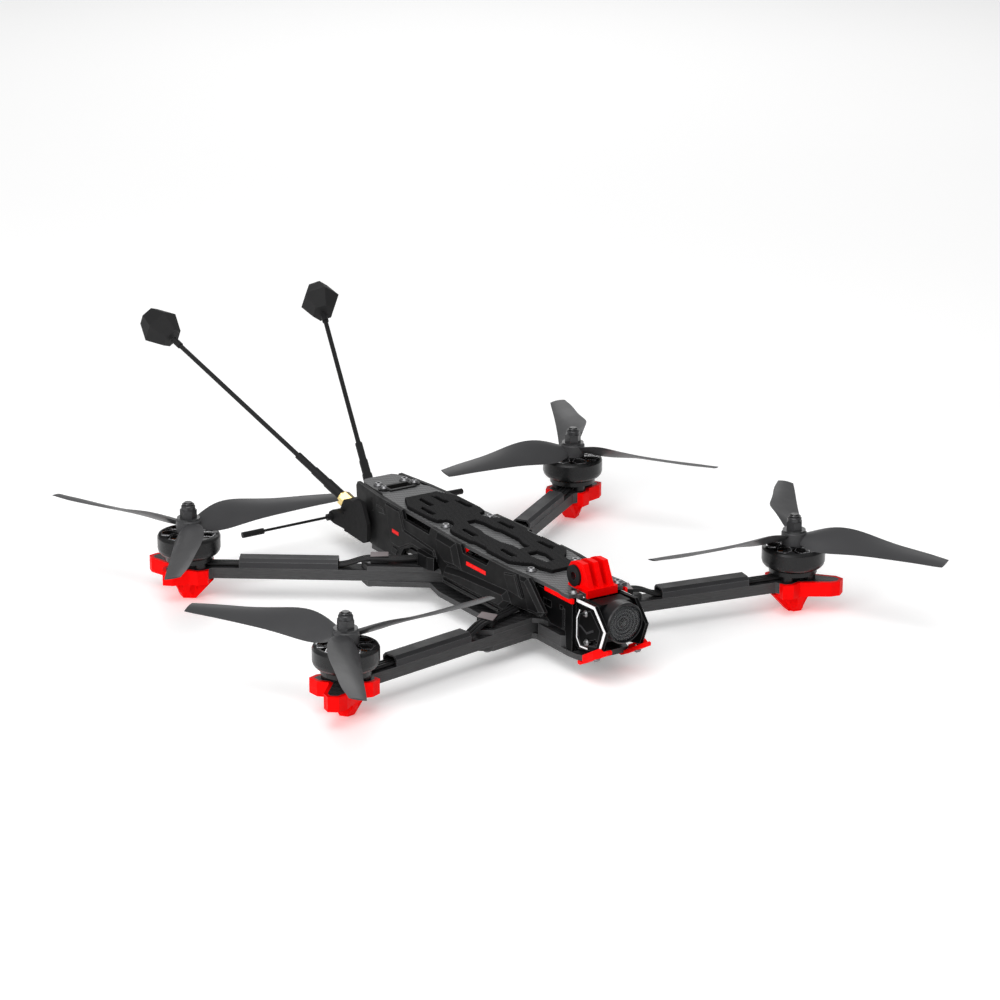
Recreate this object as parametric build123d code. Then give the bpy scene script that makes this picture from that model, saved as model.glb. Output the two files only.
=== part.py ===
from build123d import *
import math
import os

# FPV long-range racing drone, in millimetres.
# Origin: middle of the bottom plate's underside. +Z up, the nose points along -Y, +X is the drone's left.

# ---- driving dimensions -------------------------------------------------------------------------
FRONT_MOTOR = (139.8, -95.2)
REAR_MOTOR = (125.4, 95.2)
FRONT_SWEEP = -10.0
REAR_SWEEP = 35.2

BOTTOM_T = 3.0
ARM_T = 6.0
MID_T = 2.5
TOP_T = 2.0
TOP_GAP = 20.9
ARM_WIDTH = 11.0
ARM_END_X = 7.0

ARM_Z = BOTTOM_T
MID_Z = ARM_Z + ARM_T
MID_TOP = MID_Z + MID_T
TOP_Z = MID_TOP + TOP_GAP
DECK_Z = TOP_Z + TOP_T
PAD_T = 1.9
FOOT_DROP = 9.5

M3_R = 1.5
M3_HOLE_R = 1.6
M3_HEAD_R = 2.85
M3_HEAD_H = 1.7
M3_KEY = 2.0
M2_R = 0.95
FIT_GAP = 0.1
RUNNING_GAP = 0.05
SKIN_GAP = 0.3

MOTOR_SCREW_R = 9.5
BASE_R = 13.0
BASE_Z = MID_Z + 3.4
BASE_T = 2.4
BEARING_R = 3.6
SHAFT_R = 2.5
BELL_R = 17.1
BELL_BOTTOM_Z = 16.4
BELL_TOP_Z = 27.0
STATOR_Z = 20.2
STATOR_H = 7.0
HUB_TOP_Z = 28.0
MAGNET_R = 13.75
STATOR_R = 13.3
WINDOWS = 7

PROP_R = 88.9
PROP_PITCH = 107.0
PROP_HUB_R = 6.8
PROP_HUB_H = 7.0
PROP_Z = 31.6
TIP_RISE = 1.4
NUT_FLAT = 8.0
SHAFT_TOP_Z = 44.5

POST_SIDE = [(14.1, 10.9), (13.9, -71.8)]
POST_REAR = (8.4, 90.2)
NOSE_POST = (13.7, -110.8)
POST_R = 2.5

PIVOT = (-121.7, 26.4)
LENS_Y = -129.1
LENS_Z = 23.3
TILT_ARM = 15.45
TILT_REST = 265.5
TILT_TRAVEL = 30.0
NOSE_X = 11.3
NOSE_T = 2.0

FINGER_T = 2.9
FINGER_STEP = 6.1
FINGER_HOLE_R = 2.55
FINGER_PIVOT = (-103.0, 40.3)
NUT_R = 5.7

WIRE_R = 1.0
WIRE_STEP = 2.2
LEAD_R = 1.6
COVER_T = 0.9

ANTENNA_BASE = Vector(7.5, 121.7, 13.9)
ANTENNA_HEAD = Vector(53.7, 259.5, 91.7)


# ---- helpers ------------------------------------------------------------------------------------
def polygon(points):
    return make_face(Polyline(*points, close=True))


def plate(points, z, thickness):
    return extrude(Pos(0, 0, z) * polygon(points), thickness)


def both_halves(points):
    """A closed outline from its +X half, listed from the rear centre line to the front centre line."""
    return points + [(-x, y) for x, y in reversed(points) if x > 0]


def drill(points, r, z0, z1):
    """Upright round cutters at the points and at their mirror images."""
    cutters = []
    for x, y in points:
        for side in (1, -1):
            cutters.append(Pos(side * x, y, (z0 + z1) / 2) * Cylinder(r, z1 - z0))
    return cutters


def slab(x0, x1, y0, y1, z0, z1):
    centre = ((x0 + x1) / 2, (y0 + y1) / 2, (z0 + z1) / 2)
    return Pos(*centre) * Box(abs(x1 - x0), abs(y1 - y0), abs(z1 - z0))


def side_prism(points, x0, x1):
    """A prism along X from an outline of (y, z) points."""
    return extrude(Plane.YZ.offset(x0) * polygon(points), x1 - x0)


def bar_x(y, z, r, x0, x1):
    """A round bar along X."""
    return Pos((x0 + x1) / 2, y, z) * Rot(0, 90, 0) * Cylinder(r, x1 - x0)


def tube_path(points, radii):
    return FilletPolyline(*points, radius=radii)


def button_screw(r, head_r, head_h, length, key):
    """A button-head screw standing on z = 0, with its shank below and a hexagonal key hole."""
    head = revolve(make_face(Polyline((0, 0), (head_r, 0), (head_r, head_h * 0.35), (head_r * 0.62, head_h),
                                      (0, head_h), close=True).moved(Rot(90, 0, 0))), Axis.Z)
    key_hole = Pos(0, 0, head_h * 0.3) * extrude(RegularPolygon(key / 2, 6, major_radius=False), head_h)
    shank = Pos(0, 0, -length / 2) * Cylinder(r, length)
    return head + shank - key_hole


def left_right(shape):
    return shape, mirror(shape, about=Plane.YZ)


# Motor corners on the +X side: motor position, outward direction of the arm, side of the long lobe.
CORNERS = {
    "front": (FRONT_MOTOR, FRONT_SWEEP, -1),
    "rear": (REAR_MOTOR, REAR_SWEEP, 1),
}


def at_corner(corner, shape):
    """Puts a shape that was made about a motor's axis, with +X along the arm, at a +X corner."""
    (x, y), angle, _ = CORNERS[corner]
    return Pos(x, y, 0) * Rot(0, 0, angle) * shape


parts = {}


def keep_pair(name, shape):
    parts[name + "_left"], parts[name + "_right"] = left_right(shape)


# ---- frame plates -------------------------------------------------------------------------------
BOTTOM_HALF = [(0, 92), (12, 92), (15.5, 86), (15.5, 25.3), (42.6, 44.4), (48.0, 43.0), (49.4, 34.6),
               (22.2, 14.3), (25.5, 0), (25.5, -69.1), (45.5, -72.6), (51.5, -75.8), (51.4, -79.5),
               (44.9, -83.9), (18.0, -79.2), (16.4, -81.0), (16.3, -110), (15.6, -115.8),
               (13.6, -121.3), (0, -121.3)]
MID_HALF = [(0, 62), (13, 62), (15, 59), (15, 25.3), (42.6, 44.4), (48.0, 43.0), (49.4, 34.6),
            (20.5, 13.2), (18, 8), (18, -67.8), (45.5, -72.6), (51.5, -75.8), (51.4, -79.5),
            (44.9, -83.9), (18.0, -79.2), (14, -84), (14, -88), (0, -88)]
TOP_HALF = [(0, 104.4), (8.5, 104.4), (10.6, 102.4), (12.2, 98), (13.2, 88), (13.2, 78), (15.2, 74.5), (16.8, 52), (18.9, 10),
            (20.3, -13), (20.3, -60), (17.8, -82), (17.4, -102), (18.4, -107), (18.2, -112.7), (13.7, -112.7),
            (13.7, -115.5), (0, -115.5)]

# Two bolts hold each arm, at these distances from the motor axis.
ARM_BOLTS = {"front": (-96.0, -122.0), "rear": (-98.0, -133.0)}


def arm_bolt_points(corner):
    (x, y), angle, _ = CORNERS[corner]
    turn = math.radians(angle)
    return [(x + u * math.cos(turn), y + u * math.sin(turn)) for u in ARM_BOLTS[corner]]


BOLT_POINTS = arm_bolt_points("front") + arm_bolt_points("rear")


def bottom_plate():
    shape = plate(both_halves(BOTTOM_HALF), 0, BOTTOM_T)
    shape -= drill(BOLT_POINTS + [POST_REAR, NOSE_POST], M3_HOLE_R, -1, BOTTOM_T + 1)
    vent = plate([(-8, 62), (-3, 68), (3, 68), (8, 62), (8, 44), (3, 38), (-3, 38), (-8, 44)], -1, BOTTOM_T + 2)
    strap_slots = [slab(side * 9, side * 13, -64, -44, -1, BOTTOM_T + 1) for side in (1, -1)]
    nose_vent = plate([(-7, -92), (7, -92), (9, -100), (5, -107), (-5, -107), (-9, -100)], -1, BOTTOM_T + 2)
    return shape - [vent, nose_vent] - strap_slots


def mid_plate():
    shape = plate(both_halves(MID_HALF), MID_Z, MID_T)
    shape -= drill(BOLT_POINTS, M3_HOLE_R, MID_Z - 1, MID_TOP + 1)
    shape -= drill(POST_SIDE, M3_HOLE_R, MID_Z - 1, MID_TOP + 1)
    shape -= drill(STACK_POINTS, M3_HOLE_R, MID_Z - 1, MID_TOP + 1)
    return shape


def top_plate():
    shape = plate(both_halves(TOP_HALF), TOP_Z, TOP_T)
    shape -= drill(POST_SIDE + [POST_REAR, NOSE_POST], M3_HOLE_R, TOP_Z - 1, DECK_Z + 1)
    shape -= drill([(CONNECTOR_SCREW_X, CONNECTOR_Y)], M3_HOLE_R * 0.7, TOP_Z - 1, DECK_Z + 1)
    opening = slab(-8.2, 8.2, CONNECTOR_Y - 4.2, CONNECTOR_Y + 4.2, TOP_Z - 1, DECK_Z + 1)
    front_notches = [slab(side * 9.7, side * 11, -118, -104, TOP_Z - 1, DECK_Z + 1) for side in (1, -1)]
    return shape - opening - front_notches


def front_spacer():
    outline = [(0, -79.9), (16.2, -82.2), (16.2, -103), (12.5, -106.5), (0, -106.5)]
    return plate(both_halves(outline), ARM_Z, ARM_T)


# ---- arms and feet ------------------------------------------------------------------------------
# Plate under a motor, in the arm's own frame: x outward along the arm, y towards the long lobe.
HALF_W = ARM_WIDTH / 2
MOTOR_PAD = [(-13, HALF_W), (-9.8, 10.4), (-6.4, 11.2), (-1.2, 8.4), (14.5, 15.2), (18.8, 15.4), (21.3, 12.8),
             (20.2, 9.6), (8.8, 0.6), (8.6, -2.4), (11.7, -6.8), (11.3, -11.3), (8.0, -11.8), (-0.8, -8.4),
             (-5.8, -10.4), (-9.2, -9.4), (-13, -HALF_W)]
SCREW_SPOTS = [(MOTOR_SCREW_R * math.cos(a), MOTOR_SCREW_R * math.sin(a))
               for a in (math.radians(45 + 90 * i) for i in range(4))]
FOOT_WALL = 2.0
FOOT_FLOOR_Z = 1.0


def lobed(points, side):
    return [(x, side * y) for x, y in points]


def arm(corner):
    (x, _), angle, side = CORNERS[corner]
    root = -(x - ARM_END_X) / math.cos(math.radians(angle))
    outline = lobed(MOTOR_PAD, side) + [(root, -side * HALF_W), (root, side * HALF_W)]
    shape = plate(outline, ARM_Z, ARM_T)
    holes = [Pos(px, py, 0) * Cylinder(M3_HOLE_R, 4 * ARM_T) for px, py in SCREW_SPOTS]
    holes += [Pos(u, 0, 0) * Cylinder(M3_HOLE_R, 4 * ARM_T) for u in ARM_BOLTS[corner]]
    holes.append(Cylinder(3.2, 4 * ARM_T))
    return at_corner(corner, shape - holes)


def foot(corner):
    side = CORNERS[corner][2]
    pad = polygon(lobed(MOTOR_PAD[1:-1], side))
    outer = offset(pad, FOOT_WALL, kind=Kind.INTERSECTION)
    skirt = extrude(Pos(0, 0, FOOT_FLOOR_Z) * outer, MID_Z - FOOT_FLOOR_Z)
    pocket_face = offset(polygon(lobed(MOTOR_PAD, side)), FIT_GAP, kind=Kind.INTERSECTION)
    pocket = extrude(Pos(0, 0, ARM_Z) * pocket_face, ARM_T + 1)
    shank = slab(-40, -5, -HALF_W - FIT_GAP, HALF_W + FIT_GAP, ARM_Z, MID_Z + 1)
    top = Pos(1, side * 1, FOOT_FLOOR_Z + 0.2) * RegularPolygon(10.5, 6)
    tip = Pos(1, side * 1, -FOOT_DROP) * RegularPolygon(4.4, 6)
    web_outline = [(13.2, FOOT_FLOOR_Z + 0.2), (3.4, -FOOT_DROP), (-3.4, -FOOT_DROP), (-8.0, FOOT_FLOOR_Z + 0.2)]
    web = Rot(0, 0, 90) * side_prism(web_outline, -3.2, 3.2)
    spike = loft([top, tip])
    pockets = [Pos(1, side * 1, -4.5) * Rot(0, 0, 60 * i) * slab(5.6, 12, -2, 2, -4.5, 4) for i in range(6)]
    access = [Pos(px, py, 0) * Cylinder(3.1, 30) for px, py in SCREW_SPOTS]
    tail_cut = slab(-40, -13.5, -20, 20, 0, 20)
    return at_corner(corner, skirt - pocket - shank - tail_cut + (spike - pockets) + web - access)


# ---- motors -------------------------------------------------------------------------------------
def motor_base():
    disc = Pos(0, 0, BASE_Z + BASE_T / 2) * Cylinder(BASE_R, BASE_T)
    tube = Pos(0, 0, (BASE_Z + HUB_TOP_Z - 4.5) / 2) * Cylinder(BEARING_R, HUB_TOP_Z - 4.5 - BASE_Z)
    shape = disc + tube
    for x, y in SCREW_SPOTS:
        shape += Pos(x, y, (MID_Z + BASE_Z) / 2 + 0.2) * Cylinder(3.1, BASE_Z - MID_Z + 0.4)
        shape -= Pos(x, y, MID_Z + 1.3) * Cylinder(M3_R + RUNNING_GAP, 3.0)
    shape -= Pos(0, 0, HUB_TOP_Z / 2) * Cylinder(SHAFT_R + RUNNING_GAP, HUB_TOP_Z + 4)
    for i in range(8):
        shape -= Rot(0, 0, 22.5 + 45 * i) * Pos(8.6, 0, BASE_Z) * Cylinder(1.5, 6)
    return shape


def motor_stator():
    ring = Cylinder(STATOR_R, STATOR_H) - Cylinder(BEARING_R + RUNNING_GAP, STATOR_H + 2)
    shape = Pos(0, 0, STATOR_Z) * ring
    for i in range(12):
        shape -= Rot(0, 0, 30 * i) * slab(10.6, 15, -0.7, 0.7, STATOR_Z - STATOR_H, STATOR_Z + STATOR_H)
    return shape


def bell_window():
    """A five-sided window in the bell's sloping top, pointing outward along +X."""
    return polygon([(7.2, -1.4), (10.6, -4.0), (14.4, -2.4), (14.4, 2.4), (10.6, 4.0), (7.2, 1.4)])


def motor_bell():
    outline = [(SHAFT_R - 0.5, HUB_TOP_Z), (6.2, HUB_TOP_Z), (7.0, 27.7), (15.4, BELL_TOP_Z), (16.5, 26.5),
               (BELL_R, 25.4), (BELL_R, 19.2), (16.7, 17.6), (15.8, BELL_BOTTOM_Z),
               (MAGNET_R, BELL_BOTTOM_Z), (MAGNET_R, 24.9), (6.4, 25.6), (5.0, 24.9), (SHAFT_R - 0.5, 24.9)]
    shell = revolve(polygon(outline).moved(Rot(90, 0, 0)), Axis.Z)
    window = Pos(0, 0, 20) * extrude(bell_window(), 12)
    for i in range(WINDOWS):
        shell -= Rot(0, 0, i * 360 / WINDOWS) * window
    shaft = Pos(0, 0, (MID_Z + 1 + SHAFT_TOP_Z) / 2) * Cylinder(SHAFT_R, SHAFT_TOP_Z - MID_Z - 1)
    return shell + chamfer(shaft.edges().group_by(Axis.Z)[-1], 0.5)


# ---- propellers ---------------------------------------------------------------------------------
# Blade stations: distance from the axis, reach of the leading and of the trailing edge, thickness.
BLADE = [(3.4, 2.6, -2.4, 2.6), (11, 6.0, -5.6, 2.8), (22, 9.4, -6.0, 2.2), (34, 11.2, -5.6, 1.8),
         (50, 9.8, -5.2, 1.5), (66, 7.8, -5.0, 1.3), (80, 5.8, -5.0, 1.1), (PROP_R, 3.9, -4.8, 0.9)]
ROOT_PITCH = 34.0


def blade_section(r, lead, trail, thickness, spin):
    """A lens-shaped section across the blade, turned to its pitch angle. spin is 1 for anticlockwise."""
    pitch = min(math.degrees(math.atan(PROP_PITCH / (2 * math.pi * r))), ROOT_PITCH)
    across = Plane(origin=(r, 0, PROP_Z + TIP_RISE * (r / PROP_R) ** 1.5), x_dir=(0, 1, 0), z_dir=(1, 0, 0))
    stretch = 1 / math.cos(math.radians(pitch))
    front, back = lead * stretch, trail * stretch
    crown = (0.62 * front + 0.38 * back, 0.62 * thickness)
    hollow = (0.55 * front + 0.45 * back, -0.38 * thickness)
    turn = Rot(0, 0, pitch)
    upper = ThreePointArc((back, 0), crown, (front, 0))
    lower = ThreePointArc((front, 0), hollow, (back, 0))
    face = across * (turn * make_face([upper, lower]))
    return face if spin > 0 else mirror(face, about=Plane.XZ)


def propeller(spin, tips):
    """A three-bladed propeller about the Z axis, with a blade pointing to each of the tips, in degrees."""
    blade = loft([blade_section(*station, spin) for station in BLADE])
    hub = Pos(0, 0, HUB_TOP_Z + RUNNING_GAP + PROP_HUB_H / 2) * Cylinder(PROP_HUB_R, PROP_HUB_H)
    hub = chamfer(hub.edges().group_by(Axis.Z)[-1], 0.8)
    shape = hub
    for angle in tips:
        shape += Rot(0, 0, angle) * blade
    bore = Pos(0, 0, PROP_Z) * Cylinder(SHAFT_R + RUNNING_GAP, 20)
    return shape - bore


def prop_nut():
    """A flanged lock nut with a domed collar."""
    z0 = HUB_TOP_Z + RUNNING_GAP + PROP_HUB_H
    flange = Pos(0, 0, z0 + 0.4) * Cylinder(6.2, 0.8)
    body = Pos(0, 0, z0 + 0.8) * extrude(RegularPolygon(NUT_FLAT / 2, 6, major_radius=False), 4.6)
    collar = Pos(0, 0, z0 + 5.4 + 1.3) * Cylinder(3.8, 2.6)
    collar = chamfer(collar.edges().group_by(Axis.Z)[-1], 0.7)
    return flange + body + collar - Pos(0, 0, z0 + 3) * Cylinder(SHAFT_R + RUNNING_GAP, 12)


# ---- wires and their covers ---------------------------------------------------------------------
# Route of the middle wire of each motor, from under the motor to the speed controller, on the +X side.
WIRE_ROUTES = {
    "front": [(-8.0, MID_Z + 1.15), (-82.0, MID_Z + 1.15)],
    "rear": [(-8.0, MID_Z + 1.15), (-84.0, MID_Z + 1.15)],
}
WIRE_INNER = {
    "front": [(50.0, -78.6, 14.7), (32.0, -72.6, 14.0), (13.5, -64.0, 14.4), (9.5, -58.0, 16.8), (9.5, -54.0, 16.8)],
    "rear": [(47.0, 39.9, 14.7), (31.0, 28.6, 14.0), (13.0, 23.5, 14.2), (7.4, 12.0, 14.6), (7.4, -3.0, 16.8),
             (7.4, -10.0, 16.8)],
}


def wire_points(corner, offset_y):
    """Points of one motor wire: along the arm, a hump over the middle plate, then into the body."""
    (x, y), angle, _ = CORNERS[corner]
    turn = math.radians(angle)
    points = []
    for u, z in WIRE_ROUTES[corner]:
        points.append((x + u * math.cos(turn) - offset_y * math.sin(turn),
                       y + u * math.sin(turn) + offset_y * math.cos(turn), z))
    inner = WIRE_INNER[corner]
    for i, (px, py, pz) in enumerate(inner):
        before = points[-1] if i == 0 else inner[i - 1]
        after = inner[i + 1] if i + 1 < len(inner) else (px, py - math.copysign(9, y), pz)
        back = math.atan2(before[1] - py, before[0] - px) if i else math.atan2(math.sin(turn), math.cos(turn))
        ahead = math.atan2(py - after[1], px - after[0])
        mean = math.atan2(math.sin(back) + math.sin(ahead), math.cos(back) + math.cos(ahead))
        spread = offset_y / math.cos(back - mean)
        points.append((px - spread * math.sin(mean), py + spread * math.cos(mean), pz))
    return points


def corner_radii(points):
    """An arc radius for each corner: 0.45 of the shorter run, over the tangent of half the turn."""
    radii = []
    for a, b, c in zip(points, points[1:], points[2:]):
        run_in, run_out = Vector(b) - Vector(a), Vector(c) - Vector(b)
        half_turn = math.radians(run_in.get_angle(run_out)) / 2
        radii.append(0.45 * min(run_in.length, run_out.length) / math.tan(half_turn))
    return radii


def round_wire(points, r):
    path = tube_path(points, corner_radii(points))
    start = Vector(points[0])
    section = Plane(origin=start, z_dir=Vector(points[1]) - start) * Circle(r)
    return sweep(section, path=path)


def motor_wires():
    wires = []
    for corner in CORNERS:
        for i in (-1, 0, 1):
            wires += left_right(round_wire(wire_points(corner, i * WIRE_STEP), WIRE_R))
    return wires


COVER_SPAN = {"front": (-29.0, -80.0), "rear": (-27.5, -81.0)}
COVER_H = 5.2


def wire_cover(corner):
    """A chamfered channel that snaps over the wires along an arm."""
    end, start = COVER_SPAN[corner]
    half = ARM_WIDTH / 2 - 0.2
    outer = [(-half, 0), (-half, COVER_H - 1.8), (-half + 1.8, COVER_H), (half - 1.8, COVER_H),
             (half, COVER_H - 1.8), (half, 0)]
    inner_half, inner_h = half - COVER_T, COVER_H - COVER_T
    inner = [(-inner_half, -1), (-inner_half, inner_h - 1.5), (-inner_half + 1.5, inner_h),
             (inner_half - 1.5, inner_h), (inner_half, inner_h - 1.5), (inner_half, -1)]
    across = Plane(origin=(start, 0, MID_Z), x_dir=(0, 1, 0), z_dir=(1, 0, 0))
    shape = extrude(across * polygon(outer), end - start) - extrude(across * polygon(inner), end - start)
    return at_corner(corner, shape)


# ---- body: posts, pad, side covers --------------------------------------------------------------
def frame_standoffs():
    posts = []
    spots = [(x, y, MID_TOP, MID_T) for x, y in POST_SIDE] + [(*POST_REAR, BOTTOM_T, BOTTOM_T)]
    for x, y, z, spigot in spots:
        length = TOP_Z - z
        post = Pos(0, 0, z + length / 2) * Cylinder(POST_R, length)
        post += Pos(0, 0, z - spigot / 2) * Cylinder(M3_R, spigot)
        post -= Pos(0, 0, TOP_Z - 4) * Cylinder(M3_HOLE_R, 8)
        for waist in (0.25, 0.75):
            post -= Pos(0, 0, z + waist * length) * (Cylinder(POST_R + 1, 0.8) - Cylinder(POST_R - 0.3, 0.8))
        posts += left_right(Pos(x, y, 0) * post)
    return posts


PAD_HALF = [(0, 59), (10.5, 59), (16.2, 47), (16.2, 24), (15.2, 18), (10.6, 16), (9.6, 11.5), (11.6, 6.5),
            (17.0, 2.5), (18.2, -2), (18.2, -19), (16.8, -22), (16.8, -33), (18.2, -36), (18.2, -57),
            (14.5, -62.5), (10.2, -66.5), (9.6, -73.5), (7.0, -81), (0, -81)]
PAD_WINDOW = [(-2.6, 8), (2.6, 8), (4.2, 2), (4.2, -9), (5.6, -14), (5.6, -30), (3.2, -38), (3.2, -45),
              (-3.2, -45), (-3.2, -38), (-5.6, -30), (-5.6, -14), (-4.2, -9), (-4.2, 2)]
PAD_SLOT = [(-1.3, 7), (1.3, 5), (1.3, -1.5), (2.2, -3), (2.2, -6.5), (-0.6, -8), (-1.3, -6)]
PAD_SLOTS = [(11.5, 34), (11.5, -8), (11.8, -46), (4.5, 47)]


def battery_pad():
    shape = plate(both_halves(PAD_HALF), DECK_Z, PAD_T)
    shape -= plate(PAD_WINDOW, DECK_Z - 1, PAD_T + 2)
    for x, y in PAD_SLOTS:
        shape -= left_right(Pos(x, y, 0) * plate(PAD_SLOT, DECK_Z - 1, PAD_T + 2))
    shape -= plate([(-3, -52), (3, -52), (4.4, -58), (2.2, -70), (-2.2, -70), (-4.4, -58)], DECK_Z - 1, PAD_T + 2)
    return shape


# Outer face of a side cover in plan, as (y, x), from the tail to the nose.
COVER_PLAN = [(104.6, 14.3), (76.0, 17.8), (-13.0, 22.7), (-64.0, 22.7), (-93.5, 19.9)]
COVER_WALL = 2.0
COVER_SIDE = [(102.5, 10), (104.6, 31.8), (102.8, 34.4), (48, 34.4), (45.5, 29.4), (17, 29.4), (14.5, 34.4), (-17, 34.4),
              (-19.6, 30), (-42.5, 30), (-46, 34.4), (-79.8, 34.4), (-93.5, 19), (-91, 16), (-62.8, 16),
              (-58.5, 9.2), (-55.5, 7.6), (0.5, 7.2), (4, 12.4), (7, 16.6), (36, 16.6), (46, 12.4), (52, 4.4),
              (99, 3.4)]
# Raised panels: plan segment of the wall, outline as (y, z), height above the wall, bevel angle.
COVER_FACETS = [
    (1, [(66, 33.4), (49.2, 33.4), (44.6, 24.0), (11, 22.6), (8, 18.2), (36, 18.2), (50, 11.6), (59.5, 12)], 1.0, 40),
    (1, [(58, 11), (51, 10.4), (53.5, 6.2), (60, 6.2)], 0.8, 40),
    (1, [(77, 29.0), (69, 29.0), (66.8, 26), (74.5, 25)], 0.6, 30),
    (1, [(8, 33.8), (-12.6, 33.8), (-18.2, 20.6), (-3, 18.8), (6, 23.5)], 2.6, 45),
    (2, [(-3, 18.0), (-20, 20.2), (-62.5, 22.4), (-66, 16.9), (-59, 10.9), (0.5, 10.6)], 2.6, 45),
    (2, [(-0.5, 10.4), (-57, 10.4), (-55, 8.2), (0, 7.8)], 1.0, 30),
    (2, [(-59.5, 31.6), (-70, 33.6), (-76.5, 22), (-64.5, 22.8)], 0.8, 40),
    (3, [(-72.6, 33.9), (-79.6, 33.9), (-93, 19.2), (-90.6, 16.5), (-80.5, 16.5), (-79, 21.5)], 1.8, 45),
]
HOOD = (7.5, 25.2)


def cover_plane(segment):
    """A plane on one flat of the cover's wall: x along the wall towards the tail, y up, z outward."""
    (y1, x1), (y0, x0) = COVER_PLAN[segment], COVER_PLAN[segment + 1]
    along = Vector(x1 - x0, y1 - y0, 0).normalized()
    return Plane(origin=(x0, y0, 0), x_dir=along, z_dir=Vector(along.Y, -along.X, 0)), y0, along.Y


def side_cover():
    inner = [(x - COVER_WALL, y) for y, x in COVER_PLAN]
    outer = [(x, y) for y, x in reversed(COVER_PLAN)]
    shape = plate(inner + outer, 0, DECK_Z) & side_prism(COVER_SIDE, 0, 40)
    hood_y0, hood_y1 = HOOD
    hood = [(20, hood_y0 + 2), (24, hood_y0), (25.8, hood_y0 + 4), (25.8, hood_y1 - 4), (23, hood_y1), (19, hood_y1)]
    hollow = [(15, hood_y0 + 1), (24.2, hood_y0 + 3), (24.6, hood_y0 + 5), (24.6, hood_y1 + 4), (15, hood_y1 + 4)]
    shape += plate(hood, MID_TOP + SKIN_GAP, 7.4) - plate(hollow, MID_TOP, 6.0)
    for segment, outline, height, bevel in COVER_FACETS:
        wall, y0, along_y = cover_plane(segment)
        face = polygon([((y - y0) / along_y, z) for y, z in outline])
        root = extrude(wall.offset(-1.0) * face, 1.0)
        shape += root + extrude(wall * face, height, taper=bevel)
    groove = side_prism([(88, 31.5), (82.5, 31.5), (81.5, 24), (87, 22.5)], 16.8, 30)
    return shape - groove


# ---- nose ---------------------------------------------------------------------------------------
NOSE_OUTLINE = [(-113.0, 31.6), (-129.6, 32.5), (-139.7, 21.3), (-134.8, 9.1), (-114.9, 5.1), (-113.0, 6.7)]
PANEL_OUTLINE = [(-80.4, 29.8), (-112.8, 29.8), (-112.8, 3.0), (-107.4, 3.0), (-106.6, 12.6), (-93.0, 12.6),
                 (-86.0, 17.5)]
BUMPER_OUTLINE = [(-117.4, -1.9), (-119.6, -1.9), (-141.5, 9.9), (-141.7, 11.6), (-140.3, 11.9), (-121.6, 1.3),
                  (-121.6, -0.1), (-117.4, -0.1)]
LIP_OUTLINE = [(-118.2, -1.9), (-119.6, -1.9), (-140.0, 9.1), (-140.4, 10.4), (-135.0, 11.6), (-118.4, 2.2)]
BUMPER_SCREW = (12.8, -131.0)


def tilt_slot():
    """The curved slot that the lower camera screw slides in as the camera tilts up."""
    arc = CenterArc(PIVOT, TILT_ARM, TILT_REST - TILT_TRAVEL - 2, TILT_TRAVEL + 4)
    return Plane.YZ * SlotArc(arc, 2 * M2_R + 0.5)


def nose_plate():
    shape = side_prism(NOSE_OUTLINE, NOSE_X, NOSE_X + NOSE_T)
    shape -= bar_x(*PIVOT, M2_R + RUNNING_GAP, 10, 20)
    slot = Pos(NOSE_X - 1, 0, 0) * extrude(tilt_slot(), NOSE_T + 2)
    return shape - slot


def nose_panel():
    shape = side_prism(PANEL_OUTLINE, 13.7, 15.7)
    x, y = NOSE_POST
    shape += slab(11.4, 15.7, y - 1.95, y + 3.4, BOTTOM_T, TOP_Z)
    shape -= Pos(x, y, TOP_Z - 4) * Cylinder(M3_HOLE_R, 12)
    shape -= Pos(x, y, BOTTOM_T) * Cylinder(M3_HOLE_R, 8)
    for y0, y1, z0, z1 in ((-93.6, -86.4, 21.2, 24.8), (-104.4, -101.4, 23.4, 25.4)):
        shape -= slab(13, 17, y0, y1, z0, z1)
    return shape + slab(15.7, 16.3, -106.2, -104.6, 13.5, 24.5)


def nose_insert():
    outline = [(-89.4, 29.9), (-106.8, 29.9), (-106.8, 32.3), (-89.4, 32.3)]
    strip = side_prism(outline, 13.2, 17.3) + side_prism([(-106.8, 29.9), (-114.6, 29.9), (-114.6, 32.3),
                                                           (-106.8, 32.3)], 15.8, 17.3)
    bridge = slab(-13.4, 13.4, -97.0, -90.0, 29.9, 32.3)
    return Part() + [*left_right(strip), bridge]


def nose_bumper():
    slab_part = side_prism(BUMPER_OUTLINE, 10.6, 15.2)
    lip = side_prism(LIP_OUTLINE, NOSE_X + NOSE_T + 0.1, 15.2)
    corner_cut = plate([(16, -127), (16, -146), (13.5, -146), (13.5, -140)], -5, 30)
    slab_part -= corner_cut
    lip -= corner_cut + slab(10, 20, BUMPER_OUTLINE[5][0], -110, BUMPER_OUTLINE[6][1], 10)
    plate_slot = side_prism(NOSE_OUTLINE, NOSE_X - FIT_GAP, NOSE_X + NOSE_T + FIT_GAP)
    return slab_part + lip - plate_slot - bumper_site() * Cylinder(1.0, 20)


def bumper_site():
    """The place of a bumper's screw: on the sloping underside, with Z pointing out of it."""
    (y0, z0), (y1, z1) = BUMPER_OUTLINE[1], BUMPER_OUTLINE[2]
    x, y = BUMPER_SCREW
    z = z0 + (z1 - z0) * (y - y0) / (y1 - y0)
    return Plane(origin=(x, y, z), z_dir=(0, z0 - z1, y1 - y0)).location

NUT_X = FINGER_STEP + FINGER_T / 2
FINGER_OUTLINE = [(-99.4, 34.5), (-97.0, 38.5), (-97.0, 43.5), (-99.2, 46.8), (-104.0, 48.4), (-110.5, 48.4),
                  (-117.2, 34.5)]


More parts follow.
